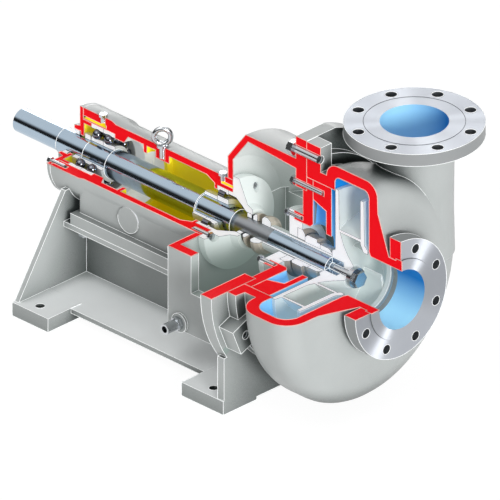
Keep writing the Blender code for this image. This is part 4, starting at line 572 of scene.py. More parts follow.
# The floor of the pedestal, kept light under the bearing housing by a painted glow, with painted shade in its
# recesses
FLOOR_GREY = painted_glow(painted_recess_shade(surface("grey_floor_enamel", "#D6D9D9", "#CBCECE", 0.0, 0.4, 2.5 * MM, 0.08 * MM),
                          "#58625F", 40 * MM), 0.34)
# Pale enamel of the bearings' bay, with a painted glow
BAY_GREY = painted_glow(surface("pale_bay_enamel", "#D6D9DB", "#C8CBCE", 0.0, 0.4, 2.5 * MM, 0.05 * MM), 0.34)
# Pale green-grey enamel of the front bearing cover, with painted shade making it darker towards the bottom
# and a painted glow
COVER_GREY = surface("cover_enamel", "#94A49E", "#D4DBD9", 0.0, 0.36, 2.5 * MM, 0.08 * MM)
COVER_GREY = painted_glow(painted_light_gradient(COVER_GREY, -90 * MM, 40 * MM), 0.32)
# Red show paint brushed on the milled cut faces of the castings: flat, even and strong, with a painted glow
SECTION_RED = painted_glow(surface("red_section_paint", "#E20012", "#DC0010", 0.0, 0.6, 3 * MM, 0.04 * MM), 0.4)
# Ground cut faces of the hardened parts: almost white, faintly glossy, with a painted glow
SECTION_PALE = painted_glow(surface("ground_section", "#F4F6F7", "#ECEEF0", 0.0, 0.4, 2 * MM, 0.02 * MM), 0.3)
# Fine bright line where a cut face meets the skin of the casting
LINE_PINK = surface("section_arris", "#FFD0C8", "#FFC2B8", 0.0, 0.5, 3 * MM, 0.02 * MM)
LINE_GREY = surface("ground_arris", "#7C8288", "#92989D", 0.2, 0.4, 3 * MM, 0.02 * MM)
# Painted highlight lines along the sharp edges of the castings, with a painted glow that keeps them white in
# shade
LINE_LIGHT = painted_glow(surface("rubbed_arris", "#F7F9F9", "#EEF1F1", 0.0, 0.4, 3 * MM, 0.02 * MM), 0.3)
# Shadow line between a pipe flange and the raised face inside it
LINE_DARK = surface("flange_seam", "#5C6066", "#6A6E74", 0.2, 0.4, 3 * MM, 0.02 * MM)
# Yellow oil-proof enamel in the bearing housing, with painted shade that makes it deeper towards the sump and
# a painted glow
OIL = surface("yellow_oil_space_enamel", "#C0AE00", "#FFF03A", 0.0, 0.4, 3 * MM, 0.05 * MM)
OIL = painted_glow(painted_light_gradient(OIL, -75 * MM, 75 * MM), 0.22)
# Blue enamel on every wall that the slurry wets, with painted light and shade from pale to deep and a painted
# glow; the suction bore is pale below and deep above
WATER = surface("blue_suction_enamel", "#A4DEFA", "#0072BE", 0.0, 0.3, 3 * MM, 0.05 * MM)
WATER = painted_glow(painted_light_gradient(WATER, -50 * MM, 15 * MM), 0.2)
# Discharge bore: painted light and shade, pale on the drive side and deep towards the suction side, and a
# painted glow
DISCHARGE_WATER = surface("blue_branch_enamel", "#A4DEFA", "#0868B0", 0.0, 0.3, 3 * MM, 0.05 * MM)
DISCHARGE_WATER = painted_glow(painted_light_gradient(DISCHARGE_WATER, X_DISCHARGE - DISCHARGE_BORE,
                             X_DISCHARGE + 0.4 * DISCHARGE_BORE, direction=(1, 0, 0)), 0.2)
# Volute chamber: painted light and shade, pale low down and deep high up, and a painted glow
CHAMBER_WATER = surface("blue_chamber_enamel", "#A6DEF8", "#1078C0", 0.0, 0.34, 3 * MM, 0.05 * MM)
CHAMBER_WATER = painted_glow(painted_light_gradient(CHAMBER_WATER, -IMPELLER_RADIUS, IMPELLER_RADIUS), 0.4)
# Bare throat of the suction side, seen past the blue
THROAT = surface("fine_cast_throat", "#9AA09F", "#858C8B", 0.1, 0.4, 2 * MM, 0.05 * MM)
# Ground and polished shaft steel: close to a mirror, faintly cool
STEEL = surface("polished_shaft_steel", "#B4C4D2", "#A8BACA", 1.0, 0.14, 1.2 * MM, 0.006 * MM)
# The seal's running length is brushed round, so its reflections spread along the shaft
SHAFT_BRUSHED = surface("brushed_shaft_steel", "#A6AAAE", "#969A9E", 1.0, 0.32, 1.0 * MM, 0.02 * MM)
turned_grain(SHAFT_BRUSHED, (0, 0, 0), (1, 0, 0), 0.6)
# Ground bearing steel: pale rings with a clean sheen and a painted white highlight along their edges
BEARING = surface("ground_bearing_steel", "#EDEFF1", "#DADEE2", 0.45, 0.24, 1.5 * MM, 0.01 * MM,
                  edge="#FFFFFF")
# Polished balls and rollers, dark as they mirror the housing
BALL_STEEL = surface("polished_ball_steel", "#7C7F88", "#62656E", 1.0, 0.1, 2 * MM, 0.005 * MM)
CAGE = surface("pressed_steel_cage", "#C9CCD0", "#B2B6BC", 0.7, 0.34, 1.5 * MM, 0.02 * MM)
# Steel flanges faced on a lathe: silver, with a sheen that fans out from the bore
MACHINED = surface("lathe_faced_steel", "#C8CCD2", "#BCC0C8", 1.0, 0.42, 1.2 * MM, 0.01 * MM)
turned_grain(MACHINED, (X_SUCTION, 0, 0), (1, 0, 0), 0.95)
DISCHARGE_MACHINED = surface("lathe_faced_branch_steel", "#BEC2C8", "#B2B6BE", 1.0, 0.42, 1.2 * MM, 0.01 * MM)
turned_grain(DISCHARGE_MACHINED, (X_DISCHARGE, DISCHARGE_OFFSET, 0), (0, 0, 1), 0.95)
# Rims of the pipe flanges, turned but not faced, and the drilled holes, whose dark colour is painted shade
FLANGE_RIM = surface("turned_flange_rim", "#A2A5A6", "#989B9C", 0.2, 0.4, 1.2 * MM, 0.03 * MM)
FLANGE_HOLE = surface("drilled_flange_hole", "#5E6266", "#4C5054", 0.3, 0.4, 1.2 * MM, 0.03 * MM)
# High-chrome white iron, fine cast and fettled, with a painted white highlight along its edges and a painted
# glow
WHITE_IRON = painted_glow(surface("high_chrome_white_iron", "#D0D7D5", "#C2CAC8", 0.0, 0.34, 2 * MM, 0.06 * MM,
                         edge="#FFFFFF"), 0.18)
# Lapped seal rings: warm taupe, with a painted highlight along their edges
CERAMIC = surface("lapped_seal_ring", "#ADA396", "#978D80", 0.0, 0.28, 1 * MM, 0.01 * MM, edge="#D8D0C4")
# Turned seal metal, with a painted highlight along its edges
SEAL_BRONZE = surface("turned_seal_metal", "#DDD4C6", "#D0C5B5", 0.3, 0.32, 1 * MM, 0.02 * MM, edge="#F2ECE2")
# Bright zinc plate on turned and forged steel: mirrors its surroundings softly
ZINC = surface("bright_zinc_plate", "#D0D3D6", "#BCC0C4", 1.0, 0.2, 1.5 * MM, 0.01 * MM)
RUBBER = surface("moulded_nitrile_rubber", "#1B1B1C", "#101011", 0.0, 0.7, 1 * MM, 0.03 * MM)


def from_bmesh(name, shape, matrix=None):
    """An object from a bmesh, moved to its place, smooth on its round faces."""
    if matrix:
        shape.transform(matrix)
    mesh = bpy.data.meshes.new(name)
    shape.to_mesh(mesh)
    shape.free()
    mesh.shade_smooth()
    mesh.set_sharp_from_angle(angle=math.radians(35))
    return bpy.data.objects.new(name, mesh)


def evaluated_shape(obj):
    """The bmesh that an object's curve or modifiers make; the object itself is removed."""
    bpy.context.scene.collection.objects.link(obj)
    evaluated = obj.evaluated_get(bpy.context.evaluated_depsgraph_get())
    shape = bmesh.new()
    shape.from_mesh(bpy.data.meshes.new_from_object(evaluated))
    bpy.data.objects.remove(obj)
    bmesh.ops.remove_doubles(shape, verts=shape.verts, dist=WELD)
    return shape


def turned(name, outline, sides, matrix=None):
    """Turn an outline of (distance along X, radius) points about the shaft axis.

    An outline that starts and ends on the axis makes a solid with flat ends, and any other a closed ring.
    Half a facet of turn keeps every corner off the planes of the cutaway.
    """
    solid = outline[0][1] == 0
    points = outline[1:-1] if solid else outline
    edges = [(i, i + 1) for i in range(len(points) - 1)]
    if not solid:
        edges.append((len(points) - 1, 0))
    mesh = bpy.data.meshes.new(name)
    mesh.from_pydata([(radius, 0, x) for x, radius in points], edges, [])
    profile = bpy.data.objects.new(name, mesh)
    screw = profile.modifiers.new("Screw", "SCREW")
    screw.axis = "Z"
    screw.steps = sides
    screw.render_steps = sides
    screw.use_merge_vertices = True
    screw.merge_threshold = WELD
    shape = evaluated_shape(profile)
    if solid:
        bmesh.ops.holes_fill(shape, edges=shape.edges)
    bmesh.ops.recalc_face_normals(shape, faces=shape.faces)
    half_facet = Matrix.Rotation(math.pi / sides, 4, "Z")
    return from_bmesh(name, shape, (matrix or Matrix.Rotation(math.pi / 2, 4, "Y")) @ half_facet)


def ring(name, x0, x1, inner, outer, sides):
    return turned(name, [(x0, inner), (x0, outer), (x1, outer), (x1, inner)], sides)


def core(name, x0, x1, radius, sides, matrix=None):
    """A plain cylinder on the shaft axis whose corners line up with those of the turned parts."""
    return turned(name, [(x0, 0), (x0, radius), (x1, radius), (x1, 0)], sides, matrix)


def block(name, xs, ys, zs):
    shape = bmesh.new()
    bmesh.ops.create_cube(shape, size=1)
    size = Vector((xs[1] - xs[0], ys[1] - ys[0], zs[1] - zs[0]))
    centre = Vector((xs[0] + xs[1], ys[0] + ys[1], zs[0] + zs[1])) / 2
    return from_bmesh(name, shape, Matrix.Translation(centre) @ Matrix.Diagonal(size).to_4x4())


def both_sides(name, xs, inner, outer, zs):
    """Two equal blocks, one on each side of the shaft."""
    return [block(name + "_near", xs, (-outer, -inner), zs), block(name + "_far", xs, (inner, outer), zs)]


def rod(name, start, direction, length, radius, sides=SIDES_FASTENER):
    shape = bmesh.new()
    bmesh.ops.create_cone(shape, cap_ends=True, segments=sides, depth=length, radius1=radius, radius2=radius)
    axis = Vector(direction)
    turn = axis.to_track_quat("Z", "Y").to_matrix().to_4x4()
    half_facet = Matrix.Rotation(math.pi / sides, 4, "Z")
    return from_bmesh(name, shape, Matrix.Translation(Vector(start) + axis * length / 2) @ turn @ half_facet)


def plate(name, outline, thickness, matrix):
    """A flat outline given as (right, up) points, thickened both ways from its plane."""
    curve = bpy.data.curves.new(name, "CURVE")
    curve.dimensions = "2D"
    curve.fill_mode = "BOTH"
    curve.extrude = thickness / 2
    spline = curve.splines.new("POLY")
    spline.points.add(len(outline) - 1)
    for point, (right, up) in zip(spline.points, outline):
        point.co = (right, up, 0, 1)
    spline.use_cyclic_u = True
    return from_bmesh(name, evaluated_shape(bpy.data.objects.new(name, curve)), matrix)


# Turns a plate's right and up into +Y and +Z, so that it stands across the shaft
ACROSS = Matrix.Rotation(math.pi / 2, 4, "Z") @ Matrix.Rotation(math.pi / 2, 4, "X")


def around(angle, radius):
    """The Y and Z of a point at this angle from the top, over the near side."""
    turn = math.radians(angle)
    return -radius * math.sin(turn), radius * math.cos(turn)


def shaped(base, *steps):
    """Join or cut helpers in order; each step is ADD or CUT followed by its helpers."""
    for operation, *helpers in steps:
        for helper in helpers:
            if not helper.users_collection:
                CUTTERS.objects.link(helper)
                helper.hide_render = True
                helper.display_type = "WIRE"
            modifier = base.modifiers.new(helper.name, "BOOLEAN")
            modifier.object = helper
            modifier.operation = operation
            modifier.solver = "MANIFOLD"
    return base


def mesh_of(form):
    """A plain mesh of what an object's modifiers make; the object and its cutters are removed."""
    if not form.users_collection:
        CUTTERS.objects.link(form)
    bpy.context.view_layer.update()
    mesh = bpy.data.meshes.new_from_object(form.evaluated_get(bpy.context.evaluated_depsgraph_get()))
    for obj in list(CUTTERS.objects):
        if obj is not QUARTER:
            bpy.data.objects.remove(obj)
    return mesh


def on_cut_plane(polygon):
    """Whether a face lies on one of the two planes that open the quarter."""
    centre = polygon.center
    near = PLANE_SLACK
    upright = abs(centre.y) < near and centre.z > near and abs(polygon.normal.y) > 0.99
    level = abs(centre.z) < near and centre.y < -near and abs(polygon.normal.z) > 0.99
    return upright or level


def radius_of(polygon):
    return math.hypot(polygon.center.y, polygon.center.z)


def in_oil_space(polygon):
    """The oil space proper, and the two grease galleries along the top."""
    point = polygon.center
    x_wall = X_OIL_SPACE + BULKHEAD_PLACE
    in_sump = abs(point.y) < SUMP_HALF_WIDTH + FIT and -SUMP_DEPTH - FIT < point.z < 0
    in_space = radius_of(polygon) < OIL_SPACE_RADIUS + FIT or in_sump
    in_gallery = abs(point.y) < GALLERY_WIDTH / 2 + FIT and point.z > GALLERY_RADIUS - FIT
    in_gallery = in_gallery and point.z < GALLERY_RADIUS + GALLERY_HEIGHT + FIT
    return in_gallery or (x_wall - FIT < point.x < X_OIL_END + FIT and in_space)


def in_rear_cover(polygon):
    return polygon.center.x > X_COVER_FACE + SEAL_INSET and radius_of(polygon) < BALL_BEARING_RADIUS - 3 * MM


def in_front_cover(polygon):
    inner = radius_of(polygon) < ROLLER_BEARING_RADIUS - COVER_WALL + SLACK
    return inner and polygon.center.x < X_COVER_HUB - SEAL_WIDTH / 2


def in_branch(polygon):
    """Walls of the discharge bore: they face its axis, and lie above the shaft."""
    point = polygon.center
    across = Vector((X_DISCHARGE - point.x, DISCHARGE_OFFSET - point.y, 0))
    near = across.length < DISCHARGE_BORE + 12 * MM
    return point.z > 30 * MM and near and across.dot(polygon.normal) > 0.5 * across.length


def in_suction(polygon):
    return polygon.center.x > X_IMPELLER + 60 * MM and radius_of(polygon) < SUCTION_BORE + SLACK


def in_throat(polygon):
    return in_suction(polygon) and polygon.center.x < X_BLUE_BORE


def in_chamber(polygon):
    point = polygon.center
    angle = math.degrees(math.atan2(-point.y, point.z)) % 360
    reach = volute_reach(angle) - VOLUTE_WALL + 3 * MM
    back = X_CASING + VOLUTE_BACK + VOLUTE_WALL - SLACK
    return radius_of(polygon) < reach and back < point.x < X_CASING + VOLUTE_FRONT - VOLUTE_WALL + SLACK


def in_seal_chamber(polygon):
    return polygon.center.x > X_SEAL_WALL and radius_of(polygon) < CHAMBER_RADIUS + SLACK


def in_seal_housing(polygon):
    return in_seal_chamber(polygon) and polygon.normal.x > -0.5


def on_wear_face(polygon):
    return polygon.center.x > X_WEAR_FACE - FIT


def in_bearing_bay(polygon):
    """The bearings' seats, behind the bulkhead."""
    behind_face = polygon.center.x > X_COVER_FACE + 2 * MM
    return behind_face and radius_of(polygon) < OIL_SPACE_RADIUS + 20 * MM and not outward(polygon)


def outward(polygon):
    """Whether a face looks away from the shaft."""
    point = polygon.center
    return point.y * polygon.normal.y + point.z * polygon.normal.z > 0.3 * radius_of(polygon)


def in_lantern(polygon):
    point = polygon.center
    in_barrel = point.z > 0 and radius_of(polygon) < BARREL_RADIUS
    in_box = point.z <= 0 and abs(point.y) < BOX_HALF_WIDTH - SLACK and point.z > SLACK - BOX_DEPTH
    return X_HOUSING_FRONT - SLACK < point.x < X_JOINT and (in_barrel or in_box) and not outward(polygon)


def on_floor_plate(polygon):
    return polygon.normal.z > 0.9 and abs(polygon.center.z - Z_PAD_TOP) < 2 * MM


def in_front_of_housing(polygon):
    return polygon.center.x > X_HOUSING_FRONT


def in_lantern_end(polygon):
    return polygon.center.x < X_JOINT and radius_of(polygon) < BARREL_RADIUS


def across_branch(polygon):
    return math.hypot(polygon.center.x - X_DISCHARGE, polygon.center.y - DISCHARGE_OFFSET)


def on_suction_rim(polygon):
    return abs(polygon.normal.x) < 0.5 and radius_of(polygon) > SUCTION_FLANGE_RADIUS - SLACK


def in_suction_hole(polygon):
    return abs(polygon.normal.x) < 0.5 and radius_of(polygon) > STUB_END_RADIUS + SLACK


def on_branch_rim(polygon):
    return abs(polygon.normal.z) < 0.5 and across_branch(polygon) > DISCHARGE_FLANGE_RADIUS - SLACK


def in_branch_hole(polygon):
    return abs(polygon.normal.z) < 0.5 and across_branch(polygon) > DISCHARGE_STUB_RADIUS + SLACK


def on_suction_end(polygon):
    return polygon.center.x > X_SUCTION - FINE_SLACK


def on_branch_end(polygon):
    return polygon.center.z > DISCHARGE_HEIGHT - FINE_SLACK


def on_running_length(polygon):
    return X_COVER_RIM < polygon.center.x < X_BRUSHED_END


INSIDES = {
    "bearing_housing": [(in_oil_space, OIL), (in_bearing_bay, BAY_GREY)],
    "pedestal_frame": [(in_lantern, INNER_GREY), (on_floor_plate, FLOOR_GREY)],
    "suction_flange": [(on_suction_rim, FLANGE_RIM), (in_suction_hole, FLANGE_HOLE)],
    "discharge_flange": [(on_branch_rim, FLANGE_RIM), (in_branch_hole, FLANGE_HOLE)],
    "rear_bearing_cover": [(in_rear_cover, OIL)],
    "front_bearing_cover": [(in_front_cover, OIL), (in_front_of_housing, COVER_GREY)],
    "volute_casing": [(on_suction_end, MACHINED), (on_branch_end, DISCHARGE_MACHINED), (in_throat, THROAT),
                      (in_suction, WATER), (in_branch, DISCHARGE_WATER), (in_chamber, CHAMBER_WATER)],
    "seal_housing": [(in_seal_housing, CHAMBER_WATER), (in_lantern_end, INNER_GREY)],
    "wear_plate": [(in_seal_chamber, CHAMBER_WATER), (on_wear_face, CHAMBER_WATER)],
    "shaft": [(on_running_length, SHAFT_BRUSHED)],
}
PALE_SECTIONS = ("front_bearing_cover",)
RED_SECTIONS = ("suction_flange",)
# Pieces that get painted highlight lines on their sharp outer edges besides the red-cut castings, and pieces
# whose highlight lines also run along the edges of their other finishes
HIGHLIGHT_EDGED = ("shaft", "discharge_flange")
EDGED_INSIDE = ("suction_flange", "discharge_flange", "pedestal_frame")

arrises = {}


def on_seam(point):
    """Whether a point lies on the circle between a pipe flange and the raised face inside it."""
    round_neck = math.hypot(point.y, point.z) - STUB_END_RADIUS
    round_stub = math.hypot(point.x - X_DISCHARGE, point.y - DISCHARGE_OFFSET) - DISCHARGE_STUB_RADIUS
    at_suction = point.x > X_SUCTION - 10 * MM and abs(round_neck) < SLACK
    return at_suction or (point.z > DISCHARGE_HEIGHT - 2 * MM and abs(round_stub) < SLACK)


def low_step(mesh, faces):
    """Whether an edge belongs to a step in a level face that is too low to get a painted highlight line."""
    for polygon in faces:
        heights = [mesh.vertices[index].co.z for index in polygon.vertices]
        if abs(polygon.normal.z) < 0.5 and max(heights) - min(heights) < 1.5 * MM:
            return any(other.normal.z > 0.9 for other in faces)
    return False


def keep_arrises(mesh, body, line, highlight_line=None, everywhere=False):
    """Note the edges where a cut face meets the rest, and the sharp outer edges that get a painted highlight
    line.
    """
    faces_of = {}
    for polygon in mesh.polygons:
        for key in polygon.edge_keys:
            faces_of.setdefault(key, []).append(polygon)
    for key, faces in faces_of.items():
        cut = [polygon for polygon in faces if polygon.material_index == 1]
        bend = faces[0].normal.dot(faces[-1].normal)
        outer = everywhere or all(polygon.material_index == 0 for polygon in faces)
        if cut and (len(cut) < len(faces) or abs(bend) < 0.5):
            kind = line
        elif highlight_line and outer and bend < 0.6 and not low_step(mesh, faces):
            kind = LINE_DARK if on_seam(mesh.vertices[key[0]].co) else highlight_line
        else:
            continue
        ends = tuple(mesh.vertices[index].co.copy() for index in key)
        arrises.setdefault((body, kind), []).append(ends)


def dressed(name, mesh, material, nodes, opened=False):
    """Give a mesh its finishes and hang it in the place of the nodes that it stands for."""
    red = name in RED_SECTIONS or (material == CAST and name not in PALE_SECTIONS)
    rules = INSIDES.get(name, [])
    mesh.materials.clear()
    for finish in (material, SECTION_RED if red else SECTION_PALE, *[finish for _, finish in rules]):
        mesh.materials.append(finish)
    for polygon in mesh.polygons:
        polygon.material_index = 0
        if opened and on_cut_plane(polygon):
            polygon.material_index = 1
            continue
        for number, (inside, _) in enumerate(rules, 2):
            if inside(polygon):
                polygon.material_index = number
                break
    mesh.shade_smooth()
    mesh.set_sharp_from_angle(angle=math.radians(30))
    mesh.name = f"{name}_piece"
    obj = bpy.data.objects.new(f"{name}_piece", mesh)
    bpy.context.scene.collection.objects.link(obj)
    body = BODY_OF[nodes[0]]
    if opened or name in HIGHLIGHT_EDGED:
        # Painted highlight lines go on the sharp outer edges of red-cut castings and of the listed edged
        # pieces
        bright = LINE_LIGHT if red or name in HIGHLIGHT_EDGED else None
        keep_arrises(mesh, body, LINE_PINK if red else LINE_GREY, bright, name in EDGED_INSIDE)
    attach(obj, body)
    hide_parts(*nodes)
    return obj


def piece(name, base, material, *steps, opened=False):
    """Shape base by its steps, open the quarter and dress the result."""
    shaped(base, *steps)
    if opened:
        shaped(base, (CUT, QUARTER))
    return dressed(name, mesh_of(base), material, [name], opened)


def interface(tree, name, direction, kind):
    return tree.interface.new_socket(name, in_out=direction, socket_type=kind)


def repeat_tree():
    """Sets one piece at every point of a pattern."""
    tree = bpy.data.node_groups.new("piece_at_points", "GeometryNodeTree")
    interface(tree, "Pattern", "INPUT", "NodeSocketGeometry")
    interface(tree, "Piece", "INPUT", "NodeSocketObject")
    interface(tree, "Finish", "INPUT", "NodeSocketMaterial")
    interface(tree, "Pieces", "OUTPUT", "NodeSocketGeometry")
    start = add(tree, "NodeGroupInput").outputs
    master = add(tree, "GeometryNodeObjectInfo", {"Object": start["Piece"]}).outputs["Geometry"]
    points = add(tree, "GeometryNodeMeshToPoints", {"Mesh": start["Pattern"]}).outputs["Points"]
    placed = add(tree, "GeometryNodeInstanceOnPoints", {"Points": points, "Instance": master})
    real = add(tree, "GeometryNodeRealizeInstances", {"Geometry": placed.outputs["Instances"]})
    done = add(tree, "GeometryNodeSetMaterial", {"Geometry": real.outputs["Geometry"],
                                                 "Material": start["Finish"]})
    add(tree, "NodeGroupOutput", {"Pieces": done.outputs["Geometry"]})
    return tree


def line_tree():
    """Turns loose edges into fine round beads."""
    tree = bpy.data.node_groups.new("arris_bead", "GeometryNodeTree")
    interface(tree, "Edges", "INPUT", "NodeSocketGeometry")
    interface(tree, "Bead Radius", "INPUT", "NodeSocketFloat")
    interface(tree, "Finish", "INPUT", "NodeSocketMaterial")
    interface(tree, "Beads", "OUTPUT", "NodeSocketGeometry")
    start = add(tree, "NodeGroupInput").outputs
    curve = add(tree, "GeometryNodeMeshToCurve", {"Mesh": start["Edges"]}).outputs["Curve"]
    circle = add(tree, "GeometryNodeCurvePrimitiveCircle", {"Resolution": 6, "Radius": start["Bead Radius"]})
    bead = add(tree, "GeometryNodeCurveToMesh", {"Curve": curve, "Profile Curve": circle.outputs["Curve"],
                                                 "Fill Caps": True}).outputs["Mesh"]
    real = add(tree, "GeometryNodeRealizeInstances", {"Geometry": bead}).outputs["Geometry"]
    done = add(tree, "GeometryNodeSetMaterial", {"Geometry": real, "Material": start["Finish"]})
    add(tree, "NodeGroupOutput", {"Beads": done.outputs["Geometry"]})
    return tree


def grown(mesh, tree, **values):
    """The plain mesh that a tree grows from a mesh, with its named inputs set."""
    holder = bpy.data.objects.new("holder", mesh)
    modifier = holder.modifiers.new("Grow", "NODES")
    modifier.node_group = tree
    for item in tree.interface.items_tree:
        key = item.name.lower().replace(" ", "_")
        if key in values:
            modifier[item.identifier] = values[key]
    return mesh_of(holder)


REPEAT = repeat_tree()
BEAD = line_tree()


def repeated(name, master, points, material, nodes):
    """One mesh of a master form set at every point."""
    CUTTERS.objects.link(master)
    pattern = bpy.data.meshes.new(name)
    pattern.from_pydata(points, [], [])
    return dressed(name, grown(pattern, REPEAT, piece=master, finish=material), material, nodes)


def bolt_holes(name, x0, x1, circle, radius, angles):
    holes = []
    for angle in angles:
        y, z = around(angle, circle)
        holes.append(rod(f"{name}_{angle:g}", (x0, y, z), (1, 0, 0), x1 - x0, radius))
    return holes


def bolts(name, x_head, head_side, circle, radius, grip, angles):
    """Hex bolts parallel to the shaft. head_side is -1 for a head on the drive side, +1 for the other."""
    seat = head_side * FIT
    head = rod("head", (seat, 0, 0), (head_side, 0, 0), HEAD_LENGTH * radius, HEAD_RADIUS * radius, 6)
    crown = rod("crown", (seat, 0, 0), (head_side, 0, 0), (HEAD_LENGTH + CROWN_HEIGHT) * radius,
                CROWN_SHARE * HEAD_RADIUS * radius)
    overlap = HEAD_LENGTH * radius / 2
    shank = rod("shank", (seat + head_side * overlap, 0, 0), (-head_side, 0, 0), grip + overlap, radius)
    centres = [(x_head, *around(angle, circle)) for angle in angles]
    nodes = [f"{name}_{number}" for number in range(1, len(angles) + 1)]
    repeated(f"{name}s", shaped(head, (ADD, crown, shank)), centres, ZINC, nodes)


def pipe_holes(name, circle, radius, start, direction, length):
    """Holes of a pipe flange, which straddle its centre lines."""
    axis = Vector(direction)
    side = Vector((0, 1, 0)) if axis.x else Vector((1, 0, 0))
    up = axis.cross(side)
    holes = []
    for number in range(PIPE_HOLES):
        turn = 2 * math.pi * (number + 0.5) / PIPE_HOLES
        centre = Vector(start) + (side * math.cos(turn) + up * math.sin(turn)) * circle
        holes.append(rod(f"{name}_{number}", centre, direction, length, radius))
    return holes


def build_shaft():
    """The stepped shaft, left whole except for the wedge that shows the impeller bolt."""
    x_stub = STUB_LENGTH - STUB_RELIEF
    x_seat = X_BALLS_A - FIT
    x_body = X_SHOULDER + FIT
    x_body_end = X_ROLLERS - FIT - SPACER_LENGTH
    shaft = turned("shaft", [
        (0, 0),
        (0, STUB_RADIUS - SHAFT_CHAMFER),
        (SHAFT_CHAMFER, STUB_RADIUS),
        (x_stub, STUB_RADIUS),
        (x_stub, THREAD_RADIUS),
        (x_seat, THREAD_RADIUS),
        (x_seat, SEAT_RADIUS),
        (x_body, SEAT_RADIUS),
        (x_body, BODY_RADIUS),
        (x_body_end, BODY_RADIUS),
        (x_body_end, SEAT_RADIUS),
        (X_COVER_RIM, SEAT_RADIUS),
        (X_COVER_RIM, FRONT_RADIUS),
        (X_BRUSHED_END, FRONT_RADIUS),
        (X_SHAFT_END, FRONT_RADIUS),
        (X_SHAFT_END, 0),
    ], SIDES_SMALL)
    tapped_hole = rod("tapped_hole", (X_SHAFT_END - IMPELLER_THREAD_DEPTH, 0, 0), (1, 0, 0),
                      IMPELLER_THREAD_DEPTH + OVERCUT, IMPELLER_BOLT_RADIUS + FIT)
    wedge = block("shaft_wedge", (X_SLEEVE_END + FIT, X_SHAFT_END + OVERCUT),
                  (-2 * FRONT_RADIUS, 0), (0, 2 * FRONT_RADIUS))
    piece("shaft", shaft, STEEL, (CUT, tapped_hole, wedge))
    spacer = ring("front_spacer", x_body_end + FIT, X_ROLLERS - FIT, SEAT_RADIUS + FIT, SPACER_RADIUS,
                  SIDES_SMALL)
    piece("front_spacer", spacer, BEARING, opened=True)


def race_ring(name, x0, width, bore, rim, race_outside):
    """A ball bearing ring with its race as a shallow groove, outside on the inner ring."""
    x1 = x0 + width
    middle = x0 + width / 2
    groove = width / 4
    if race_outside:
        race = [(middle - groove, rim), (middle, rim - RACE_DEPTH), (middle + groove, rim)]
        outline = [(x0, bore), (x0, rim), *race, (x1, rim), (x1, bore)]
    else:
        race = [(middle + groove, bore), (middle, bore + RACE_DEPTH), (middle - groove, bore)]
        outline = [(x0, bore), (x0, rim), (x1, rim), (x1, bore), *race]
    piece(name, turned(name, outline, SIDES_LARGE), BEARING, opened=True)


def ball(name, centre):
    shape = bmesh.new()
    bmesh.ops.create_uvsphere(shape, u_segments=32, v_segments=20, radius=BALL_RADIUS)
    return from_bmesh(name, shape, Matrix.Translation(centre))


def whole_angles(count):
    """Angles of the rolling elements that the cutaway leaves, both cut planes included."""
    pitch = 360 / count
    return [90 + number * pitch for number in range(count) if 90 + number * pitch <= 360]


def build_ball_row(name, x0):
    """One ball bearing: two rings, and the balls held as one set by a pressed cage."""
    middle = x0 + BALL_BEARING_WIDTH / 2
    inner_rim = BALL_PITCH_RADIUS - BALL_RADIUS + RACE_DEPTH - RUNNING
    outer_bore = BALL_PITCH_RADIUS + BALL_RADIUS - RACE_DEPTH + RUNNING
    race_ring(f"{name}_outer_ring", x0, BALL_BEARING_WIDTH, outer_bore, BALL_BEARING_RADIUS, False)
    race_ring(f"{name}_inner_ring", x0, BALL_BEARING_WIDTH, SEAT_RADIUS + FIT, inner_rim, True)
    cage = ring("cage", middle - CAGE_WIDTH / 2, middle + CAGE_WIDTH / 2,
                BALL_PITCH_RADIUS - CAGE_WALL / 2, BALL_PITCH_RADIUS + CAGE_WALL / 2, SIDES_LARGE)
    piece(f"{name}_ball_cage", cage, CAGE, opened=True)
    centres = [(middle, *around(angle, BALL_PITCH_RADIUS)) for angle in whole_angles(BALLS_PER_ROW)]
    repeated(f"{name}_balls", ball("ball", (0, 0, 0)), centres, BALL_STEEL, [f"{name}_ball_cage"])


def build_roller_row():
    """The cylindrical roller bearing: lipped outer ring, plain inner ring, rollers with their cage."""
    x0 = X_ROLLERS
    x1 = X_ROLLERS_END
    middle = (x0 + x1) / 2
    half = ROLLER_LENGTH / 2
    inner_rim = ROLLER_PITCH_RADIUS - ROLLER_RADIUS - RUNNING
    outer_bore = ROLLER_PITCH_RADIUS + ROLLER_RADIUS + RUNNING
    inner = ring("roller_bearing_inner_ring", x0, x1, SEAT_RADIUS + FIT, inner_rim, SIDES_LARGE)
    piece("roller_bearing_inner_ring", inner, BEARING, opened=True)
    lip = outer_bore - 2 * RACE_DEPTH
    outer = turned("roller_bearing_outer_ring", [
        (x0, lip), (x0, ROLLER_BEARING_RADIUS), (x1, ROLLER_BEARING_RADIUS), (x1, lip),
        (middle + half + RUNNING, lip), (middle + half + RUNNING, outer_bore),
        (middle - half - RUNNING, outer_bore), (middle - half - RUNNING, lip),
    ], SIDES_LARGE)
    piece("roller_bearing_outer_ring", outer, BEARING, opened=True)
    cage = ring("cage", middle - CAGE_WIDTH / 2, middle + CAGE_WIDTH / 2,
                ROLLER_PITCH_RADIUS - CAGE_WALL / 2, ROLLER_PITCH_RADIUS + CAGE_WALL / 2, SIDES_LARGE)
    piece("roller_bearing_roller_cage", cage, CAGE, opened=True)
    centres = [(middle, *around(angle, ROLLER_PITCH_RADIUS)) for angle in whole_angles(ROLLERS_PER_ROW)]
    roller = rod("roller", (-half, 0, 0), (1, 0, 0), ROLLER_LENGTH, ROLLER_RADIUS)
    repeated("roller_bearing_rollers", roller, centres, BALL_STEEL, ["roller_bearing_roller_cage"])


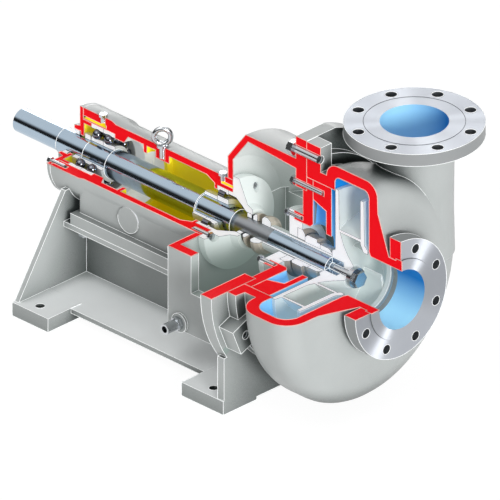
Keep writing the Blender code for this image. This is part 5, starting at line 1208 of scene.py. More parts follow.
def build_bearings():
    build_ball_row("rear_bearing_a", X_BALLS_A)
    build_ball_row("rear_bearing_b", X_BALLS_B)
    build_roller_row()
    x_washer = X_BALLS_A - FIT - LOCK_WASHER
    washer = ring("lock_washer", x_washer, X_BALLS_A - FIT, THREAD_RADIUS + FIT, LOCK_WASHER_RADIUS,
                  SIDES_SMALL)
    piece("bearing_lock_washer", washer, BEARING, opened=True)
    x_nut = x_washer - FIT - LOCK_NUT_WIDTH
    nut = ring("lock_nut", x_nut, x_washer - FIT, THREAD_RADIUS + FIT, LOCK_NUT_RADIUS, SIDES_SMALL)
    slots = bolt_holes("nut_slot", x_nut - OVERCUT, x_washer + OVERCUT, LOCK_NUT_RADIUS, NUT_SLOT,
                       (45, 135, 225, 315))
    piece("bearing_lock_nut", nut, BEARING, (CUT, *slots), opened=True)


def plug_places():
    return [
        ("rear_grease_plug", X_BALLS_B, COLLAR_RADIUS),
        ("front_grease_plug", (X_ROLLERS + X_ROLLERS_END) / 2, HOUSING_RADIUS),
    ]


def foot_bolt_places():
    x_rear = X_HOUSING_REAR + FOOT_SETBACK + FOOT_BOLT_INSET
    x_front = X_LANTERN_REAR - FOOT_BOLT_INSET
    return [
        (f"foot_bolt_{end}_{side}", x, sign * FOOT_BOLT_SPREAD)
        for end, x in (("rear", x_rear), ("front", x_front))
        for side, sign in (("near", -1), ("far", 1))
    ]


def anchor_places():
    x_rear = BASE_SETBACK + REAR_ANCHOR_INSET
    x_front = X_JOINT - FRONT_ANCHOR_INSET
    return [
        (f"anchor_hole_{end}_{side}", x, sign * ANCHOR_SPREAD)
        for end, x in (("rear", x_rear), ("front", x_front))
        for side, sign in (("near", -1), ("far", 1))
    ]


def build_bearing_housing():
    """Round housing on a flat foot, with two bearing seats and the oil space between them."""
    barrel = turned("bearing_housing", [
        (X_HOUSING_REAR, 0), (X_HOUSING_REAR, COLLAR_RADIUS),
        (X_HOUSING_REAR + COLLAR_LENGTH, COLLAR_RADIUS),
        (X_HOUSING_REAR + COLLAR_LENGTH + COLLAR_CHAMFER, HOUSING_RADIUS),
        (X_HOUSING_FRONT, HOUSING_RADIUS), (X_HOUSING_FRONT, 0),
    ], SIDES_LARGE)
    x_front = X_LANTERN_REAR - FIT
    lower_body = block("lower_body", (X_HOUSING_REAR + COLLAR_LENGTH - OVERCUT, x_front),
                       (-SIDE_HALF_WIDTH, SIDE_HALF_WIDTH), (Z_FOOT + OVERCUT, OVERCUT))
    foot = block("foot", (X_HOUSING_REAR + FOOT_SETBACK, x_front),
                 (-FOOT_HALF_WIDTH, FOOT_HALF_WIDTH), (Z_FOOT, -FOOT_TOP))
    boss_reach = SIDE_HALF_WIDTH + SIDE_BOSS_HEIGHT
    side_boss = rod("side_boss", (X_OIL_SPACE + SIDE_BOSS_PLACE, -boss_reach, -SIDE_BOSS_DROP), (0, 1, 0),
                    2 * boss_reach, SIDE_BOSS_RADIUS, SIDES_LARGE)
    x_bulkhead = X_OIL_SPACE + BULKHEAD_PLACE
    x_bulkhead_end = x_bulkhead + BULKHEAD_THICKNESS
    bore = turned("housing_bore", [
        (X_HOUSING_REAR - OVERCUT, 0),
        (X_HOUSING_REAR - OVERCUT, BALL_BEARING_RADIUS + FIT),
        (X_SHOULDER, BALL_BEARING_RADIUS + FIT),
        (X_SHOULDER, SHOULDER_RADIUS),
        (X_OIL_SPACE, SHOULDER_RADIUS),
        (X_OIL_SPACE + OIL_SPACE_FILLET, OIL_SPACE_RADIUS),
        (x_bulkhead, OIL_SPACE_RADIUS),
        (x_bulkhead, SHOULDER_RADIUS),
        (x_bulkhead_end, SHOULDER_RADIUS),
        (x_bulkhead_end, OIL_SPACE_RADIUS),
        (X_OIL_END - 2 * OIL_SPACE_FILLET, OIL_SPACE_RADIUS),
        (X_OIL_END, OIL_SPACE_RADIUS - OIL_SPACE_FILLET),
        (X_OIL_END, FRONT_SHOULDER_RADIUS),
        (X_ROLLERS - FIT, FRONT_SHOULDER_RADIUS),
        (X_ROLLERS - FIT, ROLLER_BEARING_RADIUS + FIT),
        (X_HOUSING_FRONT + OVERCUT, ROLLER_BEARING_RADIUS + FIT),
        (X_HOUSING_FRONT + OVERCUT, 0),
    ], SIDES_LARGE)
    sump_width = (-SUMP_HALF_WIDTH, SUMP_HALF_WIDTH)
    sump_height = (-SUMP_DEPTH, -OVERCUT)
    rear_sump = block("rear_sump", (X_OIL_SPACE + OVERCUT, x_bulkhead - FIT), sump_width, sump_height)
    front_sump = block("front_sump", (x_bulkhead_end + FIT, X_OIL_END - OVERCUT), sump_width, sump_height)
    eye_boss = rod("eye_boss", (X_EYE_BOLT, 0, EYE_BOSS_BOTTOM), (0, 0, 1),
                   HOUSING_RADIUS - OVERCUT - EYE_BOSS_BOTTOM, EYE_BOSS_RADIUS)
    half_gallery = GALLERY_WIDTH / 2
    gallery_top = GALLERY_RADIUS + GALLERY_HEIGHT
    galleries = [
        block("rear_gallery", (X_HOUSING_REAR - OVERCUT, X_HOUSING_REAR + REAR_GALLERY_LENGTH),
              (-half_gallery, half_gallery), (GALLERY_RADIUS, gallery_top)),
        block("front_gallery", (X_HOUSING_FRONT - FRONT_GALLERY_LENGTH, X_HOUSING_FRONT + OVERCUT),
              (-half_gallery, half_gallery), (GALLERY_RADIUS, gallery_top)),
    ]
    holes = [
        rod(f"{name}_hole", (x, 0, gallery_top - SLACK), (0, 0, 1), COLLAR_RADIUS - gallery_top + OVERCUT,
            PLUG_RADIUS + FIT)
        for name, x, seat in plug_places()
    ]
    holes.append(rod("eye_bolt_hole", (X_EYE_BOLT, 0, HOUSING_RADIUS - EYE_TAP_DEPTH), (0, 0, 1),
                     EYE_TAP_DEPTH + OVERCUT, EYE_SHANK_RADIUS + FIT))
    holes += [
        rod(f"{name}_tapped", (x, y, Z_FOOT - OVERCUT), (0, 0, 1), FOOT_TAP_DEPTH + OVERCUT,
            FOOT_BOLT_RADIUS + FIT)
        for name, x, y in foot_bolt_places()
    ]
    hole = COVER_BOLT_RADIUS + FIT
    holes += bolt_holes("rear_tapped", X_HOUSING_REAR - OVERCUT, X_HOUSING_REAR + COVER_THREAD_DEPTH,
                        COVER_BOLT_CIRCLE, hole, COVER_BOLT_ANGLES)
    holes += bolt_holes("front_tapped", X_HOUSING_FRONT - COVER_THREAD_DEPTH, X_HOUSING_FRONT + OVERCUT,
                        COVER_BOLT_CIRCLE, hole, COVER_BOLT_ANGLES)
    piece("bearing_housing", barrel, CAST,
          (ADD, lower_body, foot, side_boss), (CUT, bore, rear_sump, front_sump),
          (ADD, eye_boss), (CUT, *galleries, *holes), opened=True)


def build_bearing_covers():
    """The flat rear cover, and the dished front cover that faces the shaft seal."""
    hole = COVER_BOLT_RADIUS + FIT
    x1 = X_COVER_FACE
    x2 = x1 + COVER_PLATE
    x3 = X_BALLS_A - FIT
    spigot = BALL_BEARING_RADIUS
    throat = THREAD_RADIUS + 3 * MM
    rear = turned("rear_bearing_cover", [
        (STUB_LENGTH, REAR_SEAL_RADIUS), (STUB_LENGTH, REAR_SEAL_RADIUS + COVER_WALL),
        (x1, REAR_SEAL_RADIUS + 1.5 * COVER_WALL), (x1, COLLAR_RADIUS), (x2, COLLAR_RADIUS), (x2, spigot),
        (x3, spigot), (x3, spigot - COVER_WALL), (x2 + SEAL_INSET, spigot - COVER_WALL),
        (x2 + SEAL_INSET, throat), (x1 + SEAL_INSET, throat), (x1 + SEAL_INSET, REAR_SEAL_RADIUS),
    ], SIDES_LARGE)
    holes = bolt_holes("rear_cover_hole", x1 - OVERCUT, x2 + OVERCUT, COVER_BOLT_CIRCLE, hole,
                       COVER_BOLT_ANGLES)
    piece("rear_bearing_cover", rear, CAST, (CUT, *holes), opened=True)
    seal = ring("rear_oil_seal", STUB_LENGTH + SEAL_INSET, STUB_LENGTH + SEAL_INSET + SEAL_WIDTH,
                THREAD_RADIUS + RUNNING, REAR_SEAL_RADIUS - FIT, SIDES_LARGE)
    piece("rear_oil_seal", seal, RUBBER, opened=True)
    grip = COVER_PLATE + COVER_THREAD_DEPTH - OVERCUT
    bolts("rear_cover_bolt", x1, -1, COVER_BOLT_CIRCLE, COVER_BOLT_RADIUS, grip, COVER_BOLT_ANGLES)

    back = X_HOUSING_FRONT + FIT
    land = X_ROLLERS_END + FIT
    spigot = ROLLER_BEARING_RADIUS
    front = turned("front_bearing_cover", [
        (land, spigot - COVER_WALL), (land, spigot), (back, spigot), (back, FRONT_COVER_RADIUS),
        (X_COVER_RIM, FRONT_COVER_RADIUS), (X_COVER_HUB, FRONT_HUB_RADIUS + 6 * MM),
        (X_COVER_END, FRONT_HUB_RADIUS), (X_COVER_END, FRONT_SEAL_RADIUS),
        (X_COVER_END - SEAL_WIDTH - 2 * SEAL_INSET - RUNNING, FRONT_SEAL_RADIUS),
        (X_COVER_RIM + COVER_WALL, FRONT_HUB_RADIUS), (back + COVER_WALL, spigot - COVER_WALL),
    ], SIDES_LARGE)
    spot = X_COVER_RIM - SPOT_FACE_DEPTH
    holes = bolt_holes("front_cover_hole", back - OVERCUT, spot + OVERCUT, COVER_BOLT_CIRCLE, hole,
                       COVER_BOLT_ANGLES)
    holes += bolt_holes("spot_face", spot, X_COVER_END, COVER_BOLT_CIRCLE,
                        SPOT_FACE_RADIUS * COVER_BOLT_RADIUS, COVER_BOLT_ANGLES)
    piece("front_bearing_cover", front, CAST, (CUT, *holes), opened=True)
    x_seal = X_COVER_END - SEAL_INSET - SEAL_WIDTH
    seal = ring("front_oil_seal", x_seal, x_seal + SEAL_WIDTH,
                FRONT_RADIUS + RUNNING, FRONT_SEAL_RADIUS - FIT, SIDES_LARGE)
    piece("front_oil_seal", seal, RUBBER, opened=True)
    grip = spot - X_HOUSING_FRONT + COVER_THREAD_DEPTH - OVERCUT
    bolts("front_cover_bolt", spot, 1, COVER_BOLT_CIRCLE, COVER_BOLT_RADIUS, grip, COVER_BOLT_ANGLES)


def upper_half(name, outline, lower_edge):
    """A turned solid cut off below, as the lantern's upper shell is."""
    x0 = outline[0][0] - OVERCUT
    x1 = outline[-1][0] + OVERCUT
    below = block(f"{name}_below", (x0, x1), (-FLANGE_RADIUS, FLANGE_RADIUS), (-FLANGE_RADIUS, lower_edge))
    return shaped(turned(name, outline, SIDES_LARGE), (CUT, below))


def lantern_shell():
    """Half barrel above and box below, hollowed together, with a window in each side."""
    x0 = X_LANTERN_REAR
    x_full = X_HOUSING_FRONT + CONE_LENGTH
    x_end = X_LANTERN_FLANGE + OVERCUT
    x_past = X_JOINT + OVERCUT
    seam = BOX_TOP / 2
    barrel = upper_half("pedestal_frame", [
        (x0, 0), (x0, CONE_START_RADIUS), (x_full, BARREL_RADIUS), (x_end, BARREL_RADIUS), (x_end, 0),
    ], seam)
    box = block("lantern_box", (x0, x_end), (-BOX_HALF_WIDTH, BOX_HALF_WIDTH), (-BOX_DEPTH, BOX_TOP))
    inner = BARREL_RADIUS - BARREL_WALL
    cavity = upper_half("lantern_cavity", [
        (X_HOUSING_FRONT, 0), (X_HOUSING_FRONT, CONE_START_RADIUS - LAP),
        (x_full + BARREL_WALL / 2, inner), (x_past, inner - BARREL_THICKENING), (x_past, 0),
    ], seam)
    inner_width = BOX_HALF_WIDTH - BOX_WALL
    well = block("lantern_well", (X_HOUSING_FRONT, x_past), (-inner_width, inner_width),
                 (-BOX_DEPTH + BOX_FLOOR, BOX_TOP))
    windows = block("windows", (x0 + COLUMN_LENGTH, x_past), (-FLANGE_RADIUS, FLANGE_RADIUS),
                    (-WINDOW_HALF_HEIGHT, WINDOW_HALF_HEIGHT))
    return shaped(barrel, (ADD, box), (CUT, cavity, well, windows))


def build_pedestal_frame():
    """Base, walls and lantern, cast in one; the lantern carries the casing on its front flange."""
    x0 = X_LANTERN_REAR
    x_base = BASE_SETBACK
    floor_low = Z_PAD_TOP - FLOOR_THICKNESS
    wall_low = Z_PAD_TOP - FLOOR_THICKNESS / 2
    pad_inner = BASE_HALF_WIDTH - PAD_WIDTH
    wall_inner = WALL_SPREAD - WALL_THICKNESS
    pad_height = (Z_FLOOR, Z_PAD_TOP)
    gusset_foot = BASE_HALF_WIDTH - LAP
    gusset_low = wall_low - LAP
    gusset = plate("gusset", [
        (-gusset_foot, gusset_low), (gusset_foot, gusset_low),
        (COLLAR_RADIUS + LAP, -GUSSET_TOP), (-COLLAR_RADIUS - LAP, -GUSSET_TOP),
    ], GUSSET_THICKNESS, Matrix.Translation((x_base + GUSSET_THICKNESS / 2, 0, 0)) @ ACROSS)
    boss_face = -BOX_HALF_WIDTH - NIPPLE_BOSS_HEIGHT
    castings = [
        ring("lantern_flange", X_LANTERN_FLANGE, X_JOINT, FLANGE_BORE, FLANGE_RADIUS, SIDES_LARGE),
        block("floor_plate", (x_base + SLACK, X_JOINT - SLACK), (-FLOOR_HALF_WIDTH, FLOOR_HALF_WIDTH),
              (floor_low, Z_PAD_TOP - SLACK)),
        block("front_wall", (X_JOINT - FRONT_WALL, X_JOINT), (-gusset_foot, gusset_foot),
              (Z_FLOOR + FRONT_WALL_LIFT, -FRONT_WALL_TOP)),
        block("deck", (x_base + LAP, x0 + LAP), (-FOOT_HALF_WIDTH, FOOT_HALF_WIDTH),
              (Z_DECK_LOW, Z_DECK)),
        gusset,
        rod("drain_boss", (X_DRAIN, boss_face, -DRAIN_DEPTH), (0, 1, 0),
            NIPPLE_BOSS_HEIGHT + BOX_WALL / 2, NIPPLE_BOSS_RADIUS, SIDES_SMALL),
        *both_sides("rear_pad", (x_base, x_base + REAR_PAD_LENGTH), pad_inner, BASE_HALF_WIDTH, pad_height),
        *both_sides("front_pad", (X_JOINT - FRONT_PAD_LENGTH, X_JOINT), pad_inner, BASE_HALF_WIDTH,
                    pad_height),
        *both_sides("rear_wall", (x_base + 3 * MM, x0 + BACK_WALL / 2), wall_inner, WALL_SPREAD,
                    (wall_low, Z_DECK_LOW + 3 * MM)),
        *both_sides("front_web", (x0 + 3 * MM, X_JOINT - FRONT_WALL / 2), wall_inner, WALL_SPREAD,
                    (wall_low, -BOX_DEPTH + BOX_FLOOR / 2)),
    ]
    x_collar_past = X_HOUSING_REAR + COLLAR_LENGTH
    x_past = X_JOINT + OVERCUT
    cuts = [
        core("housing_hole", x0 - OVERCUT, X_HOUSING_FRONT + OVERCUT, HOUSING_RADIUS + FIT, SIDES_LARGE),
        core("collar_seat", X_HOUSING_REAR, x_collar_past, COLLAR_RADIUS + FIT, SIDES_LARGE),
        block("flange_flat", (X_LANTERN_FLANGE - OVERCUT, x_past), (-FLANGE_RADIUS, FLANGE_RADIUS),
              (FLANGE_FLAT, FLANGE_RADIUS + OVERCUT)),
        block("core_opening",
              (x_base + CORE_INSET, X_JOINT - CORE_INSET), (-CORE_HALF_WIDTH, CORE_HALF_WIDTH),
              (floor_low - OVERCUT, Z_PAD_TOP + OVERCUT)),
        rod("drain_hole", (X_DRAIN, boss_face - OVERCUT, -DRAIN_DEPTH), (0, 1, 0),
            NIPPLE_BOSS_HEIGHT + BOX_WALL + 2 * OVERCUT, NIPPLE_RADIUS + FIT),
        *bolt_holes("frame_bolt_hole", X_LANTERN_FLANGE - OVERCUT, x_past, CASING_BOLT_CIRCLE,
                    CASING_BOLT_RADIUS + FIT, LUG_ANGLES),
        *bolt_holes("frame_stud_hole", X_LANTERN_FLANGE - OVERCUT, x_past, COVER_STUD_CIRCLE,
                    COVER_STUD_RADIUS + FIT, COVER_STUD_ANGLES),
    ]
    cuts += [
        rod(f"{name}_deck_hole", (x, y, Z_DECK_LOW - OVERCUT), (0, 0, 1), DECK_THICKNESS + 2 * OVERCUT,
            FOOT_BOLT_RADIUS + FIT)
        for name, x, y in foot_bolt_places()
    ]
    cuts += [
        rod(name, (x, y, Z_FLOOR - OVERCUT), (0, 0, 1), PAD_THICKNESS + 2 * OVERCUT, ANCHOR_HOLE_RADIUS)
        for name, x, y in anchor_places()
    ]
    piece("pedestal_frame", lantern_shell(), CAST, (ADD, *castings), (CUT, *cuts), opened=True)


def volute_reach(angle):
    """Outer radius of the volute: a fast-opening spiral up to the far side, then back behind the branch."""
    if angle <= 270:
        return VOLUTE_START_RADIUS + VOLUTE_GROWTH * (angle / 270) ** 0.2
    return VOLUTE_START_RADIUS + VOLUTE_GROWTH * max(0, 1 - (angle - 270) / 60)


def far_rounding(angle):
    """Extra corner radius at the front of the far side, where the spiral is almost a torus."""
    return FAR_ROUNDING * max(0, math.sin(math.pi * (angle - 150) / 210))


def corner_arc(x, radius, size, first, steps=8):
    """Points of a rounded quarter corner of the volute section, from the first angle in degrees."""
    turns = [math.radians(first - 90 * step / steps) for step in range(steps + 1)]
    return [(x + size * math.cos(turn), radius + size * math.sin(turn)) for turn in turns]


def outer_section(angle):
    reach = volute_reach(angle)
    size = VOLUTE_CORNER + CORNER_GROWTH * (reach - VOLUTE_START_RADIUS)
    back = X_CASING + VOLUTE_BACK
    front = X_CASING + VOLUTE_FRONT
    inside = SUCTION_BORE - BORE_LIP
    x_neck = X_SUCTION - NECK_LENGTH
    x_stub = X_SUCTION - STUB_END_LENGTH
    round_front = size + far_rounding(angle)
    return [
        (back, inside), (back, CASING_GROOVE_RADIUS - OVERCUT),
        *corner_arc(back + size, reach - size, size, 180),
        *corner_arc(front - round_front, reach - round_front, round_front, 90),
        (front + SLACK, FRONT_CONE_RADIUS - far_rounding(angle)),
        (x_neck, NECK_RADIUS + NECK_FLARE), (x_neck + OVERCUT, NECK_RADIUS),
        (x_stub, NECK_RADIUS), (x_stub, STUB_END_RADIUS), (X_SUCTION, STUB_END_RADIUS), (X_SUCTION, inside),
    ]


def inner_section(angle):
    reach = volute_reach(angle) - VOLUTE_WALL
    size = CHAMBER_CORNER + CORNER_GROWTH * (reach + VOLUTE_WALL - VOLUTE_START_RADIUS)
    back = X_CASING + VOLUTE_BACK + VOLUTE_WALL
    front = X_CASING + VOLUTE_FRONT - VOLUTE_WALL
    inside = SUCTION_BORE - 2 * BORE_LIP
    round_front = size + far_rounding(angle)
    return [
        (X_CASING - OVERCUT, inside), (X_CASING - OVERCUT, REGISTER_RADIUS), (back, REGISTER_RADIUS),
        *corner_arc(back + size, reach - size, size, 180),
        *corner_arc(front - round_front, reach - round_front, round_front, 90),
        (front, SUCTION_BORE + BORE_LIP), (front + BORE_LIP / 2, SUCTION_BORE),
        (X_BLUE_BORE, SUCTION_BORE), (X_SUCTION + OVERCUT, SUCTION_BORE), (X_SUCTION + OVERCUT, inside),
    ]


def bridge(shape, loops):
    for near, far in zip(loops, loops[1:]):
        for index in range(len(near)):
            after = (index + 1) % len(near)
            shape.faces.new((near[index], near[after], far[after], far[index]))


def ring_loft(name, section, sides):
    """Loft a closed section, which changes with its angle round the shaft, into a closed ring."""
    shape = bmesh.new()
    loops = []
    for step in range(sides):
        angle = 360 * (step + 0.5) / sides
        points = [(x, *around(angle, radius)) for x, radius in section(angle)]
        loops.append([shape.verts.new(point) for point in points])
    bridge(shape, loops + loops[:1])
    bmesh.ops.recalc_face_normals(shape, faces=shape.faces)
    return from_bmesh(name, shape)


def branch_loft(name, stations, sides=SIDES_LARGE):
    """Loft ellipses (height, centre x, centre y, half size x, half size y) into the discharge branch."""
    shape = bmesh.new()
    turns = [2 * math.pi * (step + 0.5) / sides for step in range(sides)]
    loops = [
        [shape.verts.new((x + half_x * math.cos(turn), y + half_y * math.sin(turn), height))
         for turn in turns]
        for height, x, y, half_x, half_y in stations
    ]
    bridge(shape, loops)
    shape.faces.new(loops[0])
    shape.faces.new(loops[-1])
    bmesh.ops.recalc_face_normals(shape, faces=shape.faces)
    return from_bmesh(name, shape)


DISCHARGE_AXIS = Matrix.Translation((X_DISCHARGE, DISCHARGE_OFFSET, 0))


def discharge_branch():
    """Outside, raised end and bore of the branch, which rises from an oblong section to a round neck."""
    x = X_DISCHARGE
    y = DISCHARGE_OFFSET
    x_mid = X_CASING + (VOLUTE_BACK + VOLUTE_FRONT) / 2
    half_x = (VOLUTE_FRONT - VOLUTE_BACK) / 2
    half_y = VOLUTE_START_RADIUS + VOLUTE_GROWTH - y - 6 * MM
    low = -2 * OVERCUT
    top = DISCHARGE_HEIGHT
    stub_low = top - DISCHARGE_STUB_LENGTH
    neck = DISCHARGE_NECK_RADIUS - SLACK
    outside = branch_loft("discharge_branch", [
        (low, x_mid, y + 5 * MM, half_x, half_y),
        (0.3 * top, x_mid, y + 5 * MM, half_x - 3 * MM, half_y - SLACK),
        (0.65 * top, x, y + LAP, half_x + 5 * MM, half_y),
        (stub_low + OVERCUT, x, y, neck, neck),
    ])
    bore_x = half_x - VOLUTE_WALL
    bore_y = half_y - VOLUTE_WALL - 6 * MM
    bore = branch_loft("discharge_bore", [
        (low, x_mid, y + 8 * MM, bore_x, bore_y),
        (0.35 * top, x_mid, y + 6 * MM, bore_x, bore_y),
        (stub_low, x, y, DISCHARGE_BORE, DISCHARGE_BORE),
        (top + OVERCUT, x, y, DISCHARGE_BORE, DISCHARGE_BORE),
    ])
    stub = core("discharge_stub", stub_low, top, DISCHARGE_STUB_RADIUS, SIDES_LARGE, DISCHARGE_AXIS)
    return outside, stub, bore


def build_volute_casing():
    """The casing: a lofted spiral with the suction neck, discharge branch, joint flange and lugs."""
    x_flange = X_CASING + CASING_FLANGE_THICKNESS
    x_volute = X_CASING + VOLUTE_BACK + 2 * OVERCUT
    flange = turned("casing_flange", [
        (X_CASING, SUCTION_BORE), (X_CASING, CASING_FLANGE_RADIUS), (x_flange, CASING_FLANGE_RADIUS),
        (x_flange + LAP, CASING_GROOVE_RADIUS), (x_volute, CASING_GROOVE_RADIUS), (x_volute, SUCTION_BORE),
    ], SIDES_LARGE)
    lugs = []
    for angle in LUG_ANGLES:
        lug = block(f"lug_{angle:g}", (X_CASING, X_CASING + LUG_LENGTH), (-LUG_WIDTH / 2, LUG_WIDTH / 2),
                    (CASING_GROOVE_RADIUS - 2 * OVERCUT, LUG_RADIUS))
        lug.data.transform(Matrix.Rotation(math.radians(angle), 4, "X"))
        lugs.append(lug)
    outside, stub, bore = discharge_branch()
    holes = bolt_holes("lug_hole", X_CASING - OVERCUT, X_CASING + LUG_LENGTH + OVERCUT, CASING_BOLT_CIRCLE,
                       CASING_BOLT_RADIUS + FIT, LUG_ANGLES)
    cavity = ring_loft("volute_cavity", inner_section, SIDES_LARGE)
    body = ring_loft("volute_casing", outer_section, SIDES_LARGE)
    piece("volute_casing", body, CAST, (ADD, flange, outside, stub, *lugs), (CUT, cavity, bore, *holes),
          opened=True)


def build_pipe_flanges():
    """Loose flanges behind the raised ends of the suction neck and the discharge branch."""
    x1 = X_SUCTION - SUCTION_FLANGE_RECESS
    x0 = x1 - SUCTION_FLANGE_THICKNESS
    step = X_SUCTION - STUB_END_LENGTH - FIT
    suction = turned("suction_flange", [
        (x0, NECK_RADIUS + FIT), (x0, SUCTION_FLANGE_RADIUS), (x1, SUCTION_FLANGE_RADIUS),
        (x1, STUB_END_RADIUS + FIT), (step, STUB_END_RADIUS + FIT), (step, NECK_RADIUS + FIT),
    ], SIDES_LARGE)
    holes = pipe_holes("suction_hole", SUCTION_BOLT_CIRCLE, SUCTION_HOLE_RADIUS, (x0 - OVERCUT, 0, 0),
                       (1, 0, 0), SUCTION_FLANGE_THICKNESS + 2 * OVERCUT)
    screw_x = x0 + FLANGE_SCREW_PLACE
    screw_low = -SUCTION_FLANGE_RADIUS - FLANGE_SCREW_REACH
    screw_length = FLANGE_SCREW_REACH + FLANGE_SCREW_DEPTH
    screw_hole = rod("flange_screw_hole", (screw_x, 0, screw_low - OVERCUT), (0, 0, 1),
                     screw_length + OVERCUT + FIT, FLANGE_SCREW_RADIUS + FIT)
    piece("suction_flange", suction, MACHINED, (CUT, screw_hole, *holes), opened=True)
    screw = rod("flange_screw", (screw_x, 0, screw_low), (0, 0, 1), screw_length, FLANGE_SCREW_RADIUS)
    piece("suction_flange_screw", screw, ZINC)

    top = DISCHARGE_HEIGHT
    low = top - DISCHARGE_FLANGE_THICKNESS
    step = top - DISCHARGE_STUB_LENGTH - FIT
    discharge = turned("discharge_flange", [
        (low, DISCHARGE_NECK_RADIUS + FIT), (low, DISCHARGE_FLANGE_RADIUS), (top, DISCHARGE_FLANGE_RADIUS),
        (top, DISCHARGE_STUB_RADIUS + FIT), (step, DISCHARGE_STUB_RADIUS + FIT),
        (step, DISCHARGE_NECK_RADIUS + FIT),
    ], SIDES_LARGE, DISCHARGE_AXIS)
    holes = pipe_holes("discharge_hole", DISCHARGE_BOLT_CIRCLE, DISCHARGE_HOLE_RADIUS,
                       (X_DISCHARGE, DISCHARGE_OFFSET, low - OVERCUT), (0, 0, 1),
                       DISCHARGE_FLANGE_THICKNESS + 2 * OVERCUT)
    piece("discharge_flange", discharge, DISCHARGE_MACHINED, (CUT, *holes))


def build_seal_housing():
    """The seal housing clamped in the joint, and the wear plate behind the impeller."""
    rim = REGISTER_RADIUS - FIT
    spigot = FLANGE_BORE - FIT
    flare = SEAL_BORE_FLARE
    housing = turned("seal_housing", [
        (X_SEAL_HUB, SEAL_BORE), (X_SEAL_HUB, SEAL_HUB_RADIUS), (X_SEAL_WALL, SEAL_HUB_RADIUS),
        (X_SEAL_WALL, spigot), (X_CASING, spigot), (X_CASING, rim), (X_SEAL_FRONT, rim),
        (X_SEAL_FRONT, SEAL_BORE + flare), (X_SEAL_FRONT - flare, SEAL_BORE),
    ], SIDES_LARGE)
    stud_hole = COVER_STUD_RADIUS + FIT
    holes = bolt_holes("housing_stud_hole", X_CASING - OVERCUT, X_SEAL_FRONT + OVERCUT, COVER_STUD_CIRCLE,
                       stud_hole, COVER_STUD_ANGLES)
    holes += bolt_holes("gland_tapped", X_SEAL_HUB - OVERCUT, X_SEAL_HUB + GLAND_THREAD_DEPTH,
                        GLAND_BOLT_CIRCLE, GLAND_BOLT_RADIUS + FIT, GLAND_BOLT_ANGLES)
    piece("seal_housing", housing, CAST, (CUT, *holes), opened=True)

    face_back = X_WEAR_FACE - WEAR_FACE
    wear = turned("wear_plate", [
        (X_WEAR_BACK, CHAMBER_RADIUS), (X_WEAR_BACK, rim), (X_WEAR_FACE, rim), (X_WEAR_FACE, WEAR_BORE),
        (face_back, WEAR_BORE), (face_back, CHAMBER_RADIUS - CHAMBER_TAPER),
    ], SIDES_LARGE)
    holes = bolt_holes("wear_stud_hole", X_WEAR_BACK - OVERCUT, X_LANTERN_FLANGE + COVER_STUD_GRIP + SLACK,
                       COVER_STUD_CIRCLE, stud_hole, COVER_STUD_ANGLES)
    piece("wear_plate", wear, CAST, (CUT, *holes), opened=True)
    bolts("cover_stud", X_LANTERN_FLANGE, -1, COVER_STUD_CIRCLE, COVER_STUD_RADIUS, COVER_STUD_GRIP,
          COVER_STUD_ANGLES)


def build_gland():
    """The gland plate, whose spigot holds the stationary seal ring in the seal housing."""
    x0 = X_GLAND
    x1 = x0 + GLAND_THICKNESS
    x2 = x1 + GLAND_SPIGOT_LENGTH
    spigot = SEAL_BORE - FIT
    x_seat = x0 + GLAND_SEAT_DEPTH
    seat = GLAND_SEAT_RADIUS + FIT
    gland = turned("gland_plate", [
        (x0, GLAND_BORE), (x0, SEAL_HUB_RADIUS), (x1, SEAL_HUB_RADIUS), (x1, spigot), (x2, spigot),
        (x2, seat), (x_seat, seat), (x_seat, GLAND_BORE),
    ], SIDES_LARGE)
    holes = bolt_holes("gland_hole", x0 - OVERCUT, x1 + OVERCUT, GLAND_BOLT_CIRCLE,
                       GLAND_BOLT_RADIUS + FIT, GLAND_BOLT_ANGLES)
    piece("gland_plate", gland, WHITE_IRON, (CUT, *holes), opened=True)
    bolts("gland_bolt", x0, -1, GLAND_BOLT_CIRCLE, GLAND_BOLT_RADIUS,
          GLAND_THICKNESS + GLAND_THREAD_DEPTH - LAP, GLAND_BOLT_ANGLES)


